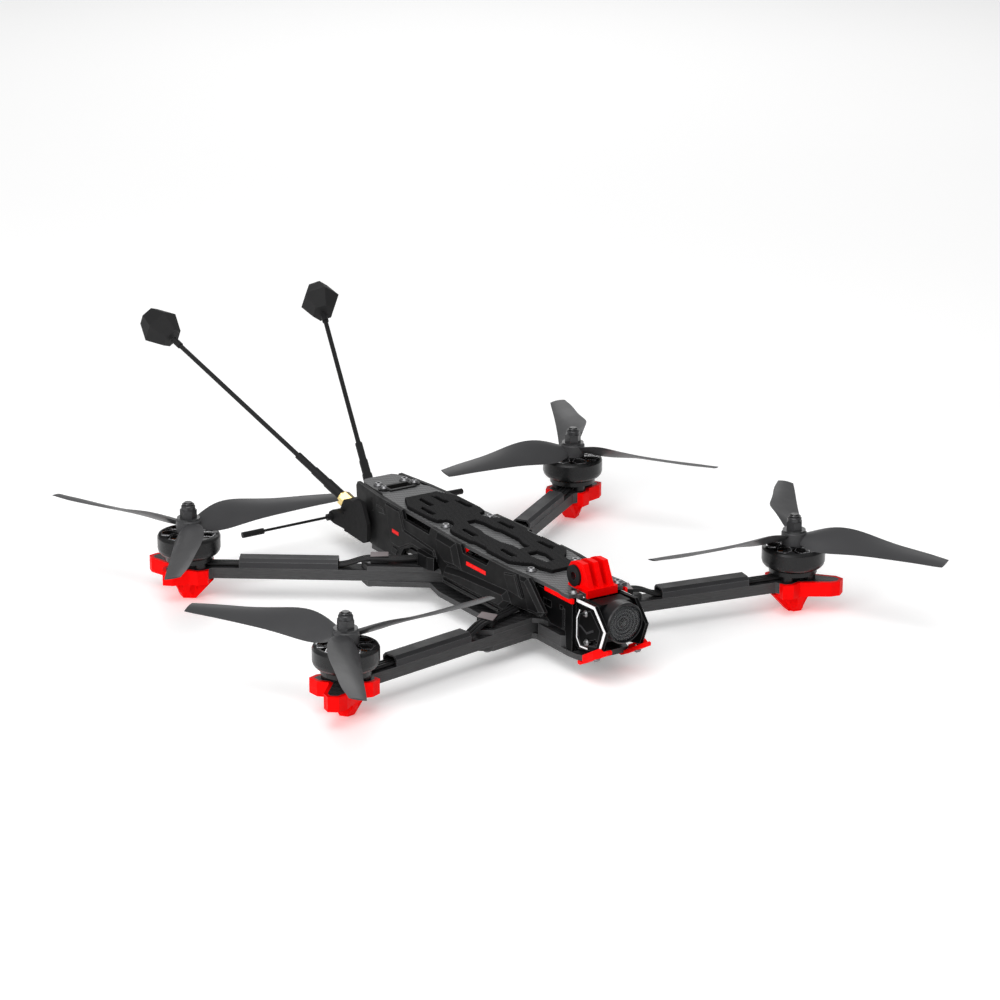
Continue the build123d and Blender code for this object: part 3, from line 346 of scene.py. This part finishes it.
MATERIALS = {
    "carbon_deck": carbon("carbon_deck", 1.15, CARBON_DECK, CARBON_EDGE, 0.34, 0.46),
    "carbon_arm": carbon("carbon_arm", 1.7, CARBON_ARM, CARBON_EDGE, 0.38, 0.44),
    "red_tpu": printed("red_tpu", TPU_RED),
    "black_tpu": printed("black_tpu", (0.0150, 0.0150, 0.0155), 0.6),
    # The covers, wire covers and nose plates below get a painted highlight along their sharp edges.
    "cover_plastic": moulded("cover_plastic", SOFT_BLACK, 0.52, edge_highlight=EDGE_HIGHLIGHT_GREY),
    "cover_lower": moulded("wire_cover_plastic", (0.038, 0.038, 0.040), 0.45, edge_highlight=(0.13, 0.13, 0.133)),
    "nose_plastic": moulded("nose_plastic", NOSE_BLACK, 0.50, specular=0.06, edge_highlight=EDGE_HIGHLIGHT_GREY),
    "black_nylon": moulded("black_nylon", (0.010, 0.010, 0.0105), 0.45),
    "camera_plastic": moulded("camera_plastic", (0.005, 0.005, 0.0055), 0.5),
    "antenna_plastic": moulded("antenna_plastic", (0.018, 0.018, 0.0185), 0.6),
    # The ribs get the lighter colour: painted light on the raised ribs.
    "rubber_pad": ribbed("rubber_pad", RIB_BLACK_PAINTED_LIGHT),
    "pad_base": ribbed("pad_base", PAD_BLACK),
    "lens_metal": anodised("lens_metal", (0.009, 0.009, 0.010), 0.40),
    "black_aluminium": anodised("black_aluminium", (0.014, 0.014, 0.015), 0.32),
    "heatsink": anodised("heatsink", (0.03, 0.03, 0.031), 0.45),
    "motor_black": anodised("motor_black", BELL_BLACK, 0.30),
    "nut_black": anodised("nut_black", (0.040, 0.040, 0.042), 0.34),
    "steel_screw": metal("steel_screw", STEEL, 0.34),
    "window_edge": metal("window_edge", (0.72, 0.72, 0.74), 0.26),
    "lamination": metal("lamination", (0.12, 0.12, 0.125), 0.5, 0.2, (0.2, 0.2, 9)),
    "brass": metal("brass", BRASS, 0.24),
    "gold": metal("gold", (0.95, 0.70, 0.26), 0.22),
    "copper": metal("copper", COPPER, 0.33, 0.25),
    "antenna_sleeve": rubber("antenna_sleeve", (0.011, 0.011, 0.0115), 0.5),
    "wire_silicone": rubber("wire_silicone", (0.0165, 0.0165, 0.017), 0.36),
    "capacitor_sleeve": rubber("capacitor_sleeve", (0.012, 0.012, 0.016), 0.3),
    "shrink_grey": rubber("shrink_grey", (0.20, 0.172, 0.176), 0.4),
    "propeller_plastic": blade_plastic("propeller_plastic", PROP_GREY),
    "circuit_board": circuit("circuit_board", (0.006, 0.010, 0.008)),
    "lens_glass": coated_glass("lens_glass"),
    "lens_bead": plain_dark("lens_bead", (0.020, 0.020, 0.019), 0.12, 0.8),
    "lens_ring": plain_dark("lens_ring", (0.085, 0.087, 0.09), 0.4),
    "lens_dark": plain_dark("lens_dark", (0.010, 0.010, 0.011), 0.38),
    "red_mark": painted_mark("red_mark", MARK_RED),
    "white_mark": painted_mark("white_mark", MARK_WHITE),
    "engraving": moulded("engraving", (0.028, 0.028, 0.030), 0.35, 0.01),
}

CAD_LOOKS = {
    "bottom_plate": "carbon_arm", "mid_plate": "carbon_arm", "top_plate": "carbon_deck",
    "front_spacer": "carbon_arm", "frame_standoffs": "black_aluminium", "battery_pad": "pad_base",
    "side_cover_left": "cover_plastic", "side_cover_right": "cover_plastic",
    "nose_plate_left": "nose_plastic", "nose_plate_right": "nose_plastic",
    "nose_panel_left": "nose_plastic", "nose_panel_right": "nose_plastic",
    "nose_bumper_left": "red_tpu", "nose_bumper_right": "red_tpu", "nose_insert": "red_tpu",
    "action_camera_mount": "red_tpu", "action_camera_nut": "black_nylon",
    "camera_body": "camera_plastic", "lens_barrel": "lens_metal", "lens_glass": "lens_glass",
    "camera_screws": "steel_screw", "antenna_mount": "black_tpu",
    "video_antenna_left": "antenna_sleeve", "video_antenna_right": "antenna_sleeve",
    "antenna_heads": "antenna_plastic", "sma_connectors": "brass", "receiver_whips": "antenna_sleeve",
    "power_connector": "black_nylon", "power_contacts": "gold", "power_leads": "wire_silicone",
    "speed_controller": "circuit_board", "flight_controller": "circuit_board",
    "stack_hardware": "black_nylon", "video_transmitter": "heatsink", "capacitor": "capacitor_sleeve",
    "motor_wires": "wire_silicone", "wire_covers": "cover_lower",
    "motor_bases": "motor_black", "motor_stators": "copper", "frame_screws": "steel_screw",
}
CORNER_LOOKS = {"arm_": "carbon_arm", "foot_": "red_tpu", "motor_bell_": "motor_black",
                "propeller_": "propeller_plastic", "prop_nut_": "nut_black"}
for prefix, look in CORNER_LOOKS.items():
    for corner in CORNERS:
        CAD_LOOKS[prefix + corner] = look


def dress_cad_nodes():
    for name, look in CAD_LOOKS.items():
        mesh = NODES[name].data
        mesh.materials.clear()
        mesh.materials.append(MATERIALS[look])


# ---- mesh helpers -------------------------------------------------------------------------------
def add_piece(name, bm, look, body):
    """Makes an object from a bmesh in millimetres, and lets it ride on a CAD body."""
    bmesh.ops.recalc_face_normals(bm, faces=bm.faces)
    bmesh.ops.scale(bm, vec=(MM, MM, MM), verts=bm.verts)
    mesh = bpy.data.meshes.new(name)
    bm.to_mesh(mesh)
    bm.free()
    mesh.materials.append(MATERIALS[look])
    piece = bpy.data.objects.new(name, mesh)
    bpy.context.scene.collection.objects.link(piece)
    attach(piece, body)
    return piece


def add_prism(bm, points, place, low, high, inset=0.0):
    """A closed prism of an outline, between two heights along place's Z; inset slopes its sides in."""
    centre = Vector((sum(p[0] for p in points), sum(p[1] for p in points))) / len(points)
    rings = []
    for height, shrink in ((low, 0.0), (high, inset)):
        ring = []
        for px, py in points:
            away = Vector((px, py)) - centre
            away -= away.normalized() * shrink
            ring.append(bm.verts.new(place @ Vector((centre.x + away.x, centre.y + away.y, height))))
        rings.append(ring)
    count = len(points)
    for i in range(count):
        j = (i + 1) % count
        bm.faces.new((rings[0][i], rings[0][j], rings[1][j], rings[1][i]))
    bm.faces.new(list(reversed(rings[0])))
    bm.faces.new(rings[1])


def strip_quads(points, width):
    """Splits a line into mitred quads of a given width."""
    sides = []
    for i, point in enumerate(points):
        here = Vector(point)
        before = (here - Vector(points[i - 1])).normalized() if i else None
        after = (Vector(points[i + 1]) - here).normalized() if i + 1 < len(points) else None
        along = ((before or after) + (after or before)).normalized()
        across = Vector((-along.y, along.x))
        reach = width / 2 / max(0.3, abs(across.dot(Vector((-(after or before).y, (after or before).x)))))
        sides.append((here + across * reach, here - across * reach))
    return [(a[0], a[1], b[1], b[0]) for a, b in zip(sides, sides[1:])]


def add_strip(bm, points, width, place, low, high):
    for quad in strip_quads(points, width):
        add_prism(bm, [tuple(p) for p in quad], place, low, high)


def lathe(bm, outline, place, segments=64):
    """Turns an outline of (radius, height) about place's Z.

    The solid is closed where the outline starts and ends at radius 0, or at the same point.
    """
    rings = []
    for r, z in outline:
        if r < 1e-6:
            rings.append([bm.verts.new(place @ Vector((0, 0, z)))])
            continue
        turns = [2 * math.pi * i / segments for i in range(segments)]
        rings.append([bm.verts.new(place @ Vector((r * math.cos(a), r * math.sin(a), z))) for a in turns])
    for low, high in zip(rings, rings[1:]):
        for i in range(segments):
            j = (i + 1) % segments
            face = [low[i % len(low)], low[j % len(low)], high[j % len(high)], high[i % len(high)]]
            face = list(dict.fromkeys(face))
            if len(face) > 2:
                bm.faces.new(face)


def on_side(place, side):
    """A place given for the left side, mirrored for the right."""
    return place if side == "left" else Matrix.Diagonal((-1, 1, 1, 1)) @ place


def side_wall(x):
    """A frame on a left wall square to X: x = Y of the row frame, y = Z, z outward."""
    return Matrix(((0, 0, 1, x), (1, 0, 0, 0), (0, 1, 0, 0), (0, 0, 0, 1)))


def smooth(piece, angle=35):
    for polygon in piece.data.polygons:
        polygon.use_smooth = True
    piece.data.set_sharp_from_angle(angle=math.radians(angle))
    return piece


# ---- motor details ------------------------------------------------------------------------------
COIL_TURNS = 5
COIL_R = 6.6
COIL_PITCH = 0.92
COIL_HALF_WIDTH = 0.95
COIL_WIDENING = 0.13
COIL_HALF_H = 2.9
COIL_CORNER = 0.7
COPPER_R = 0.46
TOOTH_HEAD = [(11.4, -1.5), (12.4, -2.95), (13.05, -2.9), (13.25, 0), (13.05, 2.9), (12.4, 2.95), (11.4, 1.5)]
TOOTH_HALF_H = 2.6
CORE_RING = [(3.75, -2.4), (5.9, -2.4), (5.9, 2.4), (3.75, 2.4), (3.75, -2.4)]

# The bell's sloping face as (radius, height), from its inner to its outer end.
BELL_SLOPE = ((7.0, 27.7), (15.4, 27.0))
# A window's bright edge, as how far it grows from the outline and how far it stands off the face.
WINDOW_EDGE = ((-0.02, -0.3), (-0.02, 0.16), (0.42, 0.16), (0.42, -0.2))
SHAFT_TIP = [(1.05, 43.5), (1.05, 44.46), (1.9, 44.46), (2.4, 44.1), (2.56, 43.7), (2.56, 43.5), (1.05, 43.5)]
NUT_INSERT = [(0, 43.0), (2.6, 43.0), (3.3, 43.0), (3.3, 43.52), (1.0, 43.52), (0.95, 43.3), (0, 43.3)]


def rounded_loop(half_width, half_height, corner, steps=3):
    """A rounded rectangle as (across, up) points."""
    points = []
    for cx, cz, start in ((1, 1, 0), (-1, 1, 90), (-1, -1, 180), (1, -1, 270)):
        for i in range(steps + 1):
            a = math.radians(start + 90 * i / steps)
            points.append((cx * (half_width - corner) + corner * math.cos(a),
                           cz * (half_height - corner) + corner * math.sin(a)))
    return points


def add_ring_tube(bm, path, r, sides=6):
    """A closed tube round a closed path of 3-D points."""
    rings = []
    count = len(path)
    for i, point in enumerate(path):
        along = (path[(i + 1) % count] - path[i - 1]).normalized()
        side = along.cross(Vector((0, 0, 1)))
        side = side.normalized() if side.length > 1e-3 else Vector((1, 0, 0))
        up = side.cross(along).normalized()
        turns = [2 * math.pi * k / sides for k in range(sides)]
        rings.append([bm.verts.new(point + side * r * math.cos(a) + up * r * math.sin(a)) for a in turns])
    for i in range(count):
        low, high = rings[i], rings[(i + 1) % count]
        for k in range(sides):
            bm.faces.new((low[k], low[(k + 1) % sides], high[(k + 1) % sides], high[k]))


def add_windings(corner):
    """Copper turns round each stator tooth, and the laminated teeth themselves."""
    x, y = CORNERS[corner]
    coils = bmesh.new()
    core = bmesh.new()
    for tooth in range(TEETH):
        turn = Matrix.Translation((x, y, STATOR_Z)) @ Matrix.Rotation(2 * math.pi * tooth / TEETH, 4, "Z")
        for k in range(COIL_TURNS):
            r = COIL_R + COIL_PITCH * k
            loop = rounded_loop(COIL_HALF_WIDTH + COIL_WIDENING * k, COIL_HALF_H, COIL_CORNER)
            add_ring_tube(coils, [turn @ Vector((r, a, b)) for a, b in loop], COPPER_R)
        add_prism(core, TOOTH_HEAD, turn, -TOOTH_HALF_H, TOOTH_HALF_H)
    lathe(core, CORE_RING, Matrix.Translation((x, y, STATOR_Z)), 36)
    windings = smooth(add_piece("windings_" + corner, coils, "copper", "frame"), 60)
    add_piece("stator_core_" + corner, core, "lamination", "frame")
    return windings


def bell_top(r):
    """Height of the bell's outside over the windows' sloping face."""
    (r0, z0), (r1, z1) = BELL_SLOPE
    return z0 + (z1 - z0) * (r - r0) / (r1 - r0)


def add_window_edges(corner):
    """Thin bright chamfers round the windows of a bell."""
    x, y = CORNERS[corner]
    bm = bmesh.new()
    for i in range(BELL_WINDOWS):
        place = Matrix.Translation((x, y, 0)) @ Matrix.Rotation(2 * math.pi * i / BELL_WINDOWS, 4, "Z")
        centre = Vector(WINDOW_CENTRE)
        rings = []
        for grow, lift in WINDOW_EDGE:
            ring = []
            for px, py in WINDOW_OUTLINE:
                away = Vector((px, py)) - centre
                point = centre + away + away.normalized() * grow
                ring.append(bm.verts.new(place @ Vector((point.x, point.y, bell_top(point.length) + lift))))
            rings.append(ring)
        rings.append(rings[0])
        count = len(WINDOW_OUTLINE)
        for low, high in zip(rings, rings[1:]):
            for k in range(count):
                bm.faces.new((low[k], low[(k + 1) % count], high[(k + 1) % count], high[k]))
    add_piece("bell_window_edges_" + corner, bm, "window_edge", "rotor_" + corner)


def add_shaft_tip(corner):
    """The bright end of the motor shaft, and the dark insert of the lock nut round it."""
    x, y = CORNERS[corner]
    bm = bmesh.new()
    lathe(bm, SHAFT_TIP, Matrix.Translation((x, y, 0)), 24)
    smooth(add_piece("shaft_tip_" + corner, bm, "steel_screw", "rotor_" + corner))
    plug = bmesh.new()
    lathe(plug, NUT_INSERT, Matrix.Translation((x, y, 0)), 24)
    smooth(add_piece("nut_insert_" + corner, plug, "lens_dark", "rotor_" + corner))


# ---- battery pad ribs ---------------------------------------------------------------------------
PAD_HALF = [(0, 59), (10.5, 59), (16.2, 47), (16.2, 24), (15.2, 18), (10.6, 16), (9.6, 11.5), (11.6, 6.5),
            (17.0, 2.5), (18.2, -2), (18.2, -19), (16.8, -22), (16.8, -33), (18.2, -36), (18.2, -57),
            (14.5, -62.5), (10.2, -66.5), (9.6, -73.5), (7.0, -81), (0, -81)]
PAD_WINDOW = [(-2.6, 8), (2.6, 8), (4.2, 2), (4.2, -9), (5.6, -14), (5.6, -30), (3.2, -38), (3.2, -45),
              (-3.2, -45), (-3.2, -38), (-5.6, -30), (-5.6, -14), (-4.2, -9), (-4.2, 2)]
PAD_SLOT = [(-1.3, 7), (1.3, 5), (1.3, -1.5), (2.2, -3), (2.2, -6.5), (-0.6, -8), (-1.3, -6)]
PAD_SLOTS = [(11.5, 34), (11.5, -8), (11.8, -46), (4.5, 47)]
PAD_FRONT_WINDOW = [(-3, -52), (3, -52), (4.4, -58), (2.2, -70), (-2.2, -70), (-4.4, -58)]
RIB_PITCH = 1.65
RIB_H = 0.5
RIB_MARGIN = 0.5
RIB_SHORTEST = 0.8
RIB_FROM, RIB_TO = -80.2, 58.6
RIB_SECTION = [(-0.5, 0), (-0.28, RIB_H), (0.28, RIB_H), (0.5, 0)]
RIB_SINK = 0.02


def crossings(outline, y):
    """Where an outline crosses a line of constant y, as sorted x values."""
    found = []
    for (x0, y0), (x1, y1) in zip(outline, outline[1:] + outline[:1]):
        if (y0 > y) != (y1 > y):
            found.append(x0 + (x1 - x0) * (y - y0) / (y1 - y0))
    return sorted(found)


def cut_spans(spans, cut):
    """The spans that are left beside an opening whose outline crosses at cut."""
    if len(cut) < 2:
        return spans
    left, right = cut[0] - RIB_MARGIN, cut[-1] + RIB_MARGIN
    kept = []
    for a, b in spans:
        if right <= a or left >= b:
            kept.append([a, b])
            continue
        if left > a:
            kept.append([a, left])
        if right < b:
            kept.append([right, b])
    return kept


def add_pad_ribs():
    """Fine ribs across the battery pad, cut back from its edge and openings."""
    outline = PAD_HALF + [(-x, y) for x, y in reversed(PAD_HALF)][1:-1]
    holes = [PAD_WINDOW, PAD_FRONT_WINDOW]
    for x, y in PAD_SLOTS:
        for side in (1, -1):
            holes.append([(side * (x + px), y + py) for px, py in PAD_SLOT])
    bm = bmesh.new()
    y = RIB_FROM
    while y < RIB_TO:
        edges = crossings(outline, y)
        spans = [[edges[0] + RIB_MARGIN, edges[-1] - RIB_MARGIN]]
        for hole in holes:
            spans = cut_spans(spans, crossings(hole, y))
        for a, b in spans:
            if b - a < RIB_SHORTEST:
                continue
            ends = []
            for x in (a, b):
                ends.append([bm.verts.new((x, y + dy, PAD_TOP_Z - RIB_SINK + dz)) for dy, dz in RIB_SECTION])
            for k in range(4):
                bm.faces.new((ends[0][k], ends[0][(k + 1) % 4], ends[1][(k + 1) % 4], ends[1][k]))
            bm.faces.new(list(reversed(ends[0])))
            bm.faces.new(ends[1])
        y += RIB_PITCH
    add_piece("battery_pad_ribs", bm, "rubber_pad", "frame")


# ---- side cover marks ---------------------------------------------------------------------------
# The left cover's plan as (y, x).
COVER_PLAN = [(104.6, 14.3), (76.0, 17.8), (-13.0, 22.7), (-64.0, 22.7), (-93.5, 19.9)]


def cover_place(segment, lift):
    """A frame on one flat of the left cover: x = Y of the row frame, y = Z, z outward."""
    (y0, x0), (y1, x1) = COVER_PLAN[segment], COVER_PLAN[segment + 1]
    slope = (x1 - x0) / (y1 - y0)
    outward = Vector((1, -slope, 0)).normalized()
    origin = Vector((x0 - slope * y0, 0, 0)) + outward * lift
    return Matrix(((slope, 0, outward.x, origin.x),
                   (1, 0, outward.y, origin.y),
                   (0, 1, outward.z, origin.z),
                   (0, 0, 0, 1)))


# Plain level stripes, which stand for no letter or sign: the flat of COVER_PLAN that each is on, how far that
# flat's face stands off the plan, the stripe's line as (y, z), and its width.
COVER_STRIPES = [(1, 1.0, [(57.0, 19.9), (49.6, 19.9)], 2.0), (2, 0.0, [(-23.0, 25.6), (-42.0, 25.6)], 2.2)]
PAINT_SINK = -0.1


def add_cover_marks(side):
    bm = bmesh.new()
    for segment, lift, line, width in COVER_STRIPES:
        add_strip(bm, line, width, on_side(cover_place(segment, lift), side), PAINT_SINK, 0.12)
    add_piece("cover_marks_" + side, bm, "red_mark", "frame")


# A red liner behind the front window of each cover, as a (y, z) outline and its X span on the left.
LINER = [(-15.2, 34.2), (-15.2, 29.6), (-18.5, 29.6), (-24.5, 34.2)]
LINER_X = (19.2, 19.9)


def add_liner(side):
    bm = bmesh.new()
    add_prism(bm, LINER, on_side(side_wall(0), side), *LINER_X)
    add_piece("window_liner_" + side, bm, "red_tpu", "frame")


# ---- nose marks ---------------------------------------------------------------------------------
NOSE_FACE_X = 13.3
NOSE_STRIPE = [(-113.0, 31.0), (-129.1, 31.5), (-138.6, 21.2), (-134.4, 10.5)]
NOSE_INNER = [(-116.2, 26.8), (-113.6, 21.4), (-113.6, 10.9), (-116.6, 6.9), (-123.4, 7.6)]
NOSE_RECESS = [(-116.6, 24.7), (-125.7, 28.9), (-134.5, 20.7), (-131.5, 11.1), (-117.4, 7.8), (-115.2, 12.9),
               (-115.2, 19.4)]
CHEVRON = [(-115.6, 18.2), (-117.4, 18.2), (-122.6, 15.9), (-128.6, 19.1)]


def add_nose_marks(side):
    place = on_side(side_wall(NOSE_FACE_X), side)
    white = bmesh.new()
    add_strip(white, NOSE_STRIPE, 1.7, place, PAINT_SINK, 0.10)
    add_strip(white, NOSE_INNER, 0.8, place, PAINT_SINK, 0.10)
    add_piece("nose_stripes_" + side, white, "white_mark", "frame")
    lines = bmesh.new()
    add_strip(lines, CHEVRON, 1.1, place, PAINT_SINK, 0.16)
    add_strip(lines, NOSE_RECESS + NOSE_RECESS[:1], 0.5, place, PAINT_SINK, 0.12)
    add_piece("nose_relief_" + side, lines, "engraving", "frame")


# ---- camera lens --------------------------------------------------------------------------------
# The stepped well as (radius, height) from its back, and its bright rings as inner and outer radius and height.
LENS_WELL = [(0, 6.44), (9.7, 6.44), (9.7, 8.0), (9.2, 8.0), (8.7, 7.5), (7.9, 7.5), (7.7, 7.1), (6.5, 7.1),
             (6.3, 6.8), (4.6, 6.8), (4.4, 6.6), (0, 6.6)]
LENS_RINGS = [(7.9, 8.7, 7.66), (6.4, 7.4, 7.26), (4.6, 5.6, 6.96), (2.7, 3.5, 6.76)]
RING_T = 0.2
BEAD_R, BEAD_Z, BEAD_RISE, BEAD_STEPS = 2.4, 6.62, 1.1, 8
# The front glass: its foot's height, its steps, and the radius and rise of its outer and inner faces.
GLASS_Z = 8.1
GLASS_STEPS = 14
GLASS_OUTER = (9.6, 1.6)
GLASS_INNER = (9.0, 1.2)


def lens_place():
    x, y, z = LENS_AXIS
    return Matrix.Translation((x, y, z)) @ Matrix.Rotation(math.radians(90), 4, "X")


def dome_line(r, foot, rise, steps):
    """A quarter of an ellipse as (radius, height), from its top on the axis down to its foot."""
    turns = [math.radians(90 * i / steps) for i in range(steps + 1)]
    return [(r * math.sin(a), foot + rise * math.cos(a)) for a in turns]


def add_lens():
    """The stepped rings in the lens barrel, and the curved front glass over them."""
    place = lens_place()
    well = bmesh.new()
    lathe(well, LENS_WELL, place)
    smooth(add_piece("lens_well", well, "lens_dark", "camera"), 20)
    rings = bmesh.new()
    for r0, r1, z in LENS_RINGS:
        lathe(rings, [(r0, z - RING_T), (r1, z - RING_T), (r1, z), (r0, z), (r0, z - RING_T)], place)
    smooth(add_piece("lens_rings", rings, "lens_ring", "camera"), 20)
    bead = bmesh.new()
    lathe(bead, dome_line(BEAD_R, BEAD_Z, BEAD_RISE, BEAD_STEPS) + [(0, BEAD_Z)], place, 32)
    smooth(add_piece("lens_bead", bead, "lens_bead", "camera"), 60)
    dome = bmesh.new()
    outer, inner = (dome_line(r, GLASS_Z, rise, GLASS_STEPS) for r, rise in (GLASS_OUTER, GLASS_INNER))
    lathe(dome, outer + inner[::-1], place)
    glass = smooth(add_piece("lens_dome", dome, "lens_glass", "camera"), 50)
    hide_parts("lens_glass")


# ---- captive nut --------------------------------------------------------------------------------
# Its axis as (y, z), and the section of its thread as (x, radius).
NUT_AXIS = (-103.0, 40.3)
NUT_BORE = [(-8.8, 2.54), (-6.2, 2.54), (-6.2, 2.28), (-8.8, 2.28), (-8.8, 2.54)]


def add_nut_sleeve():
    """The dark thread inside the action camera mount's captive nut."""
    y, z = NUT_AXIS
    bm = bmesh.new()
    place = Matrix.Translation((0, y, z)) @ Matrix.Rotation(math.radians(90), 4, "Y")
    lathe(bm, [(r, x) for x, r in NUT_BORE], place, 32)
    smooth(add_piece("action_nut_thread", bm, "lens_dark", "frame"), 30)


# ---- wire sleeves at the arm roots --------------------------------------------------------------
# A sleeve's plan as (x, y) on the left side.
SLEEVES = {"front": [(47.9, -72.5), (41.7, -67.7), (37.1, -75.8), (44.1, -81.9)],
           "rear": [(42.6, 42.4), (34.3, 37.2), (37.7, 31.6), (46.5, 36.0)]}
SLEEVE_Z = (MID_TOP_Z + 0.6, 16.0)
LABEL_T = 0.2


def add_wire_sleeves():
    """A dark sleeve that holds the three wires together at each arm's root, with a grey face on top."""
    low, high = SLEEVE_Z
    for end, outline in SLEEVES.items():
        for side in ("left", "right"):
            place = on_side(Matrix(), side)
            sleeve = bmesh.new()
            add_prism(sleeve, outline, place, low, high)
            add_piece("wire_sleeve_" + end + "_" + side, sleeve, "wire_silicone", "frame")
            label = bmesh.new()
            add_prism(label, outline, place, high, high + LABEL_T, 0.15)
            add_piece("wire_sleeve_top_" + end + "_" + side, label, "shrink_grey", "frame")


# ---- studio -------------------------------------------------------------------------------------
CAMERA_PLACE = (-0.99502, -1.54591, 0.67252)
CAMERA_AZIMUTH = -33.117
CAMERA_ELEVATION = 18.699
CAMERA_ROLL = 0.286
CAMERA_LENS = 130.35
LIGHT_TARGET = (0, 0.03, 0.02)
# Each light's place, the size of its disk and its power.
LIGHTS = {"key": ((-0.5, -0.5, 1.4), 1.3, 13),
          "side": ((-1.6, -0.6, 0.7), 0.9, 14),
          "rear": ((0.9, 1.4, 0.9), 1.0, 4)}
WORLD_STRENGTH = 0.42
FLOOR_HALF = 6
FLOOR_GAP = 0.0002
FLOOR_GLOW = 0.22


def set_camera():
    az, el, roll = (math.radians(a) for a in (CAMERA_AZIMUTH, CAMERA_ELEVATION, CAMERA_ROLL))
    back = Vector((math.sin(az) * math.cos(el), -math.cos(az) * math.cos(el), math.sin(el)))
    right = Vector((math.cos(az), math.sin(az), 0))
    up = back.cross(right)
    turned_right = right * math.cos(roll) + up * math.sin(roll)
    turned_up = up * math.cos(roll) - right * math.sin(roll)
    data = bpy.data.cameras.new("camera")
    data.lens = CAMERA_LENS
    data.sensor_width = 36
    data.clip_start = 0.05
    data.clip_end = 50
    camera = bpy.data.objects.new("camera", data)
    bpy.context.scene.collection.objects.link(camera)
    turn = Matrix((turned_right, turned_up, back)).transposed().to_4x4()
    camera.matrix_world = Matrix.Translation(CAMERA_PLACE) @ turn
    bpy.context.scene.camera = camera


def add_light(name, place, target, size, energy):
    data = bpy.data.lights.new(name, "AREA")
    data.shape = "DISK"
    data.size = size
    data.energy = energy
    light = bpy.data.objects.new(name, data)
    bpy.context.scene.collection.objects.link(light)
    direction = Vector(target) - Vector(place)
    light.location = place
    light.rotation_euler = direction.to_track_quat("-Z", "Y").to_euler()


def set_studio():
    world = bpy.data.worlds.new("studio")
    world.use_nodes = True
    world.node_tree.nodes["Background"].inputs[0].default_value = (1, 1, 1, 1)
    world.node_tree.nodes["Background"].inputs[1].default_value = WORLD_STRENGTH
    bpy.context.scene.world = world
    for name, (place, size, energy) in LIGHTS.items():
        add_light(name, place, LIGHT_TARGET, size, energy)
    bm = bmesh.new()
    bmesh.ops.create_grid(bm, x_segments=1, y_segments=1, size=FLOOR_HALF)
    mesh = bpy.data.meshes.new("floor")
    bm.to_mesh(mesh)
    bm.free()
    floor = bpy.data.objects.new("floor", mesh)
    floor.location = (0, 0, CAD_BOX[0][2] - FLOOR_GAP)
    bpy.context.scene.collection.objects.link(floor)
    paper = Shader("studio_paper", PAPER, 0.9)
    paper.grain(PAPER, 0.002, 0.01, 0.85, 0.95)
    paper.set("Emission Color", (1, 1, 1, 1))
    paper.set("Emission Strength", FLOOR_GLOW)
    mesh.materials.append(paper.material)
    bpy.context.scene.view_settings.view_transform = "Standard"


# ---- build --------------------------------------------------------------------------------------
dress_cad_nodes()
for corner in CORNERS:
    windings = add_windings(corner)
    if corner == "front_left":
        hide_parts("motor_stators")
    add_window_edges(corner)
    add_shaft_tip(corner)
add_pad_ribs()
for side in ("left", "right"):
    add_cover_marks(side)
    add_liner(side)
    add_nose_marks(side)
add_lens()
add_nut_sleeve()
add_wire_sleeves()
set_camera()
set_studio()
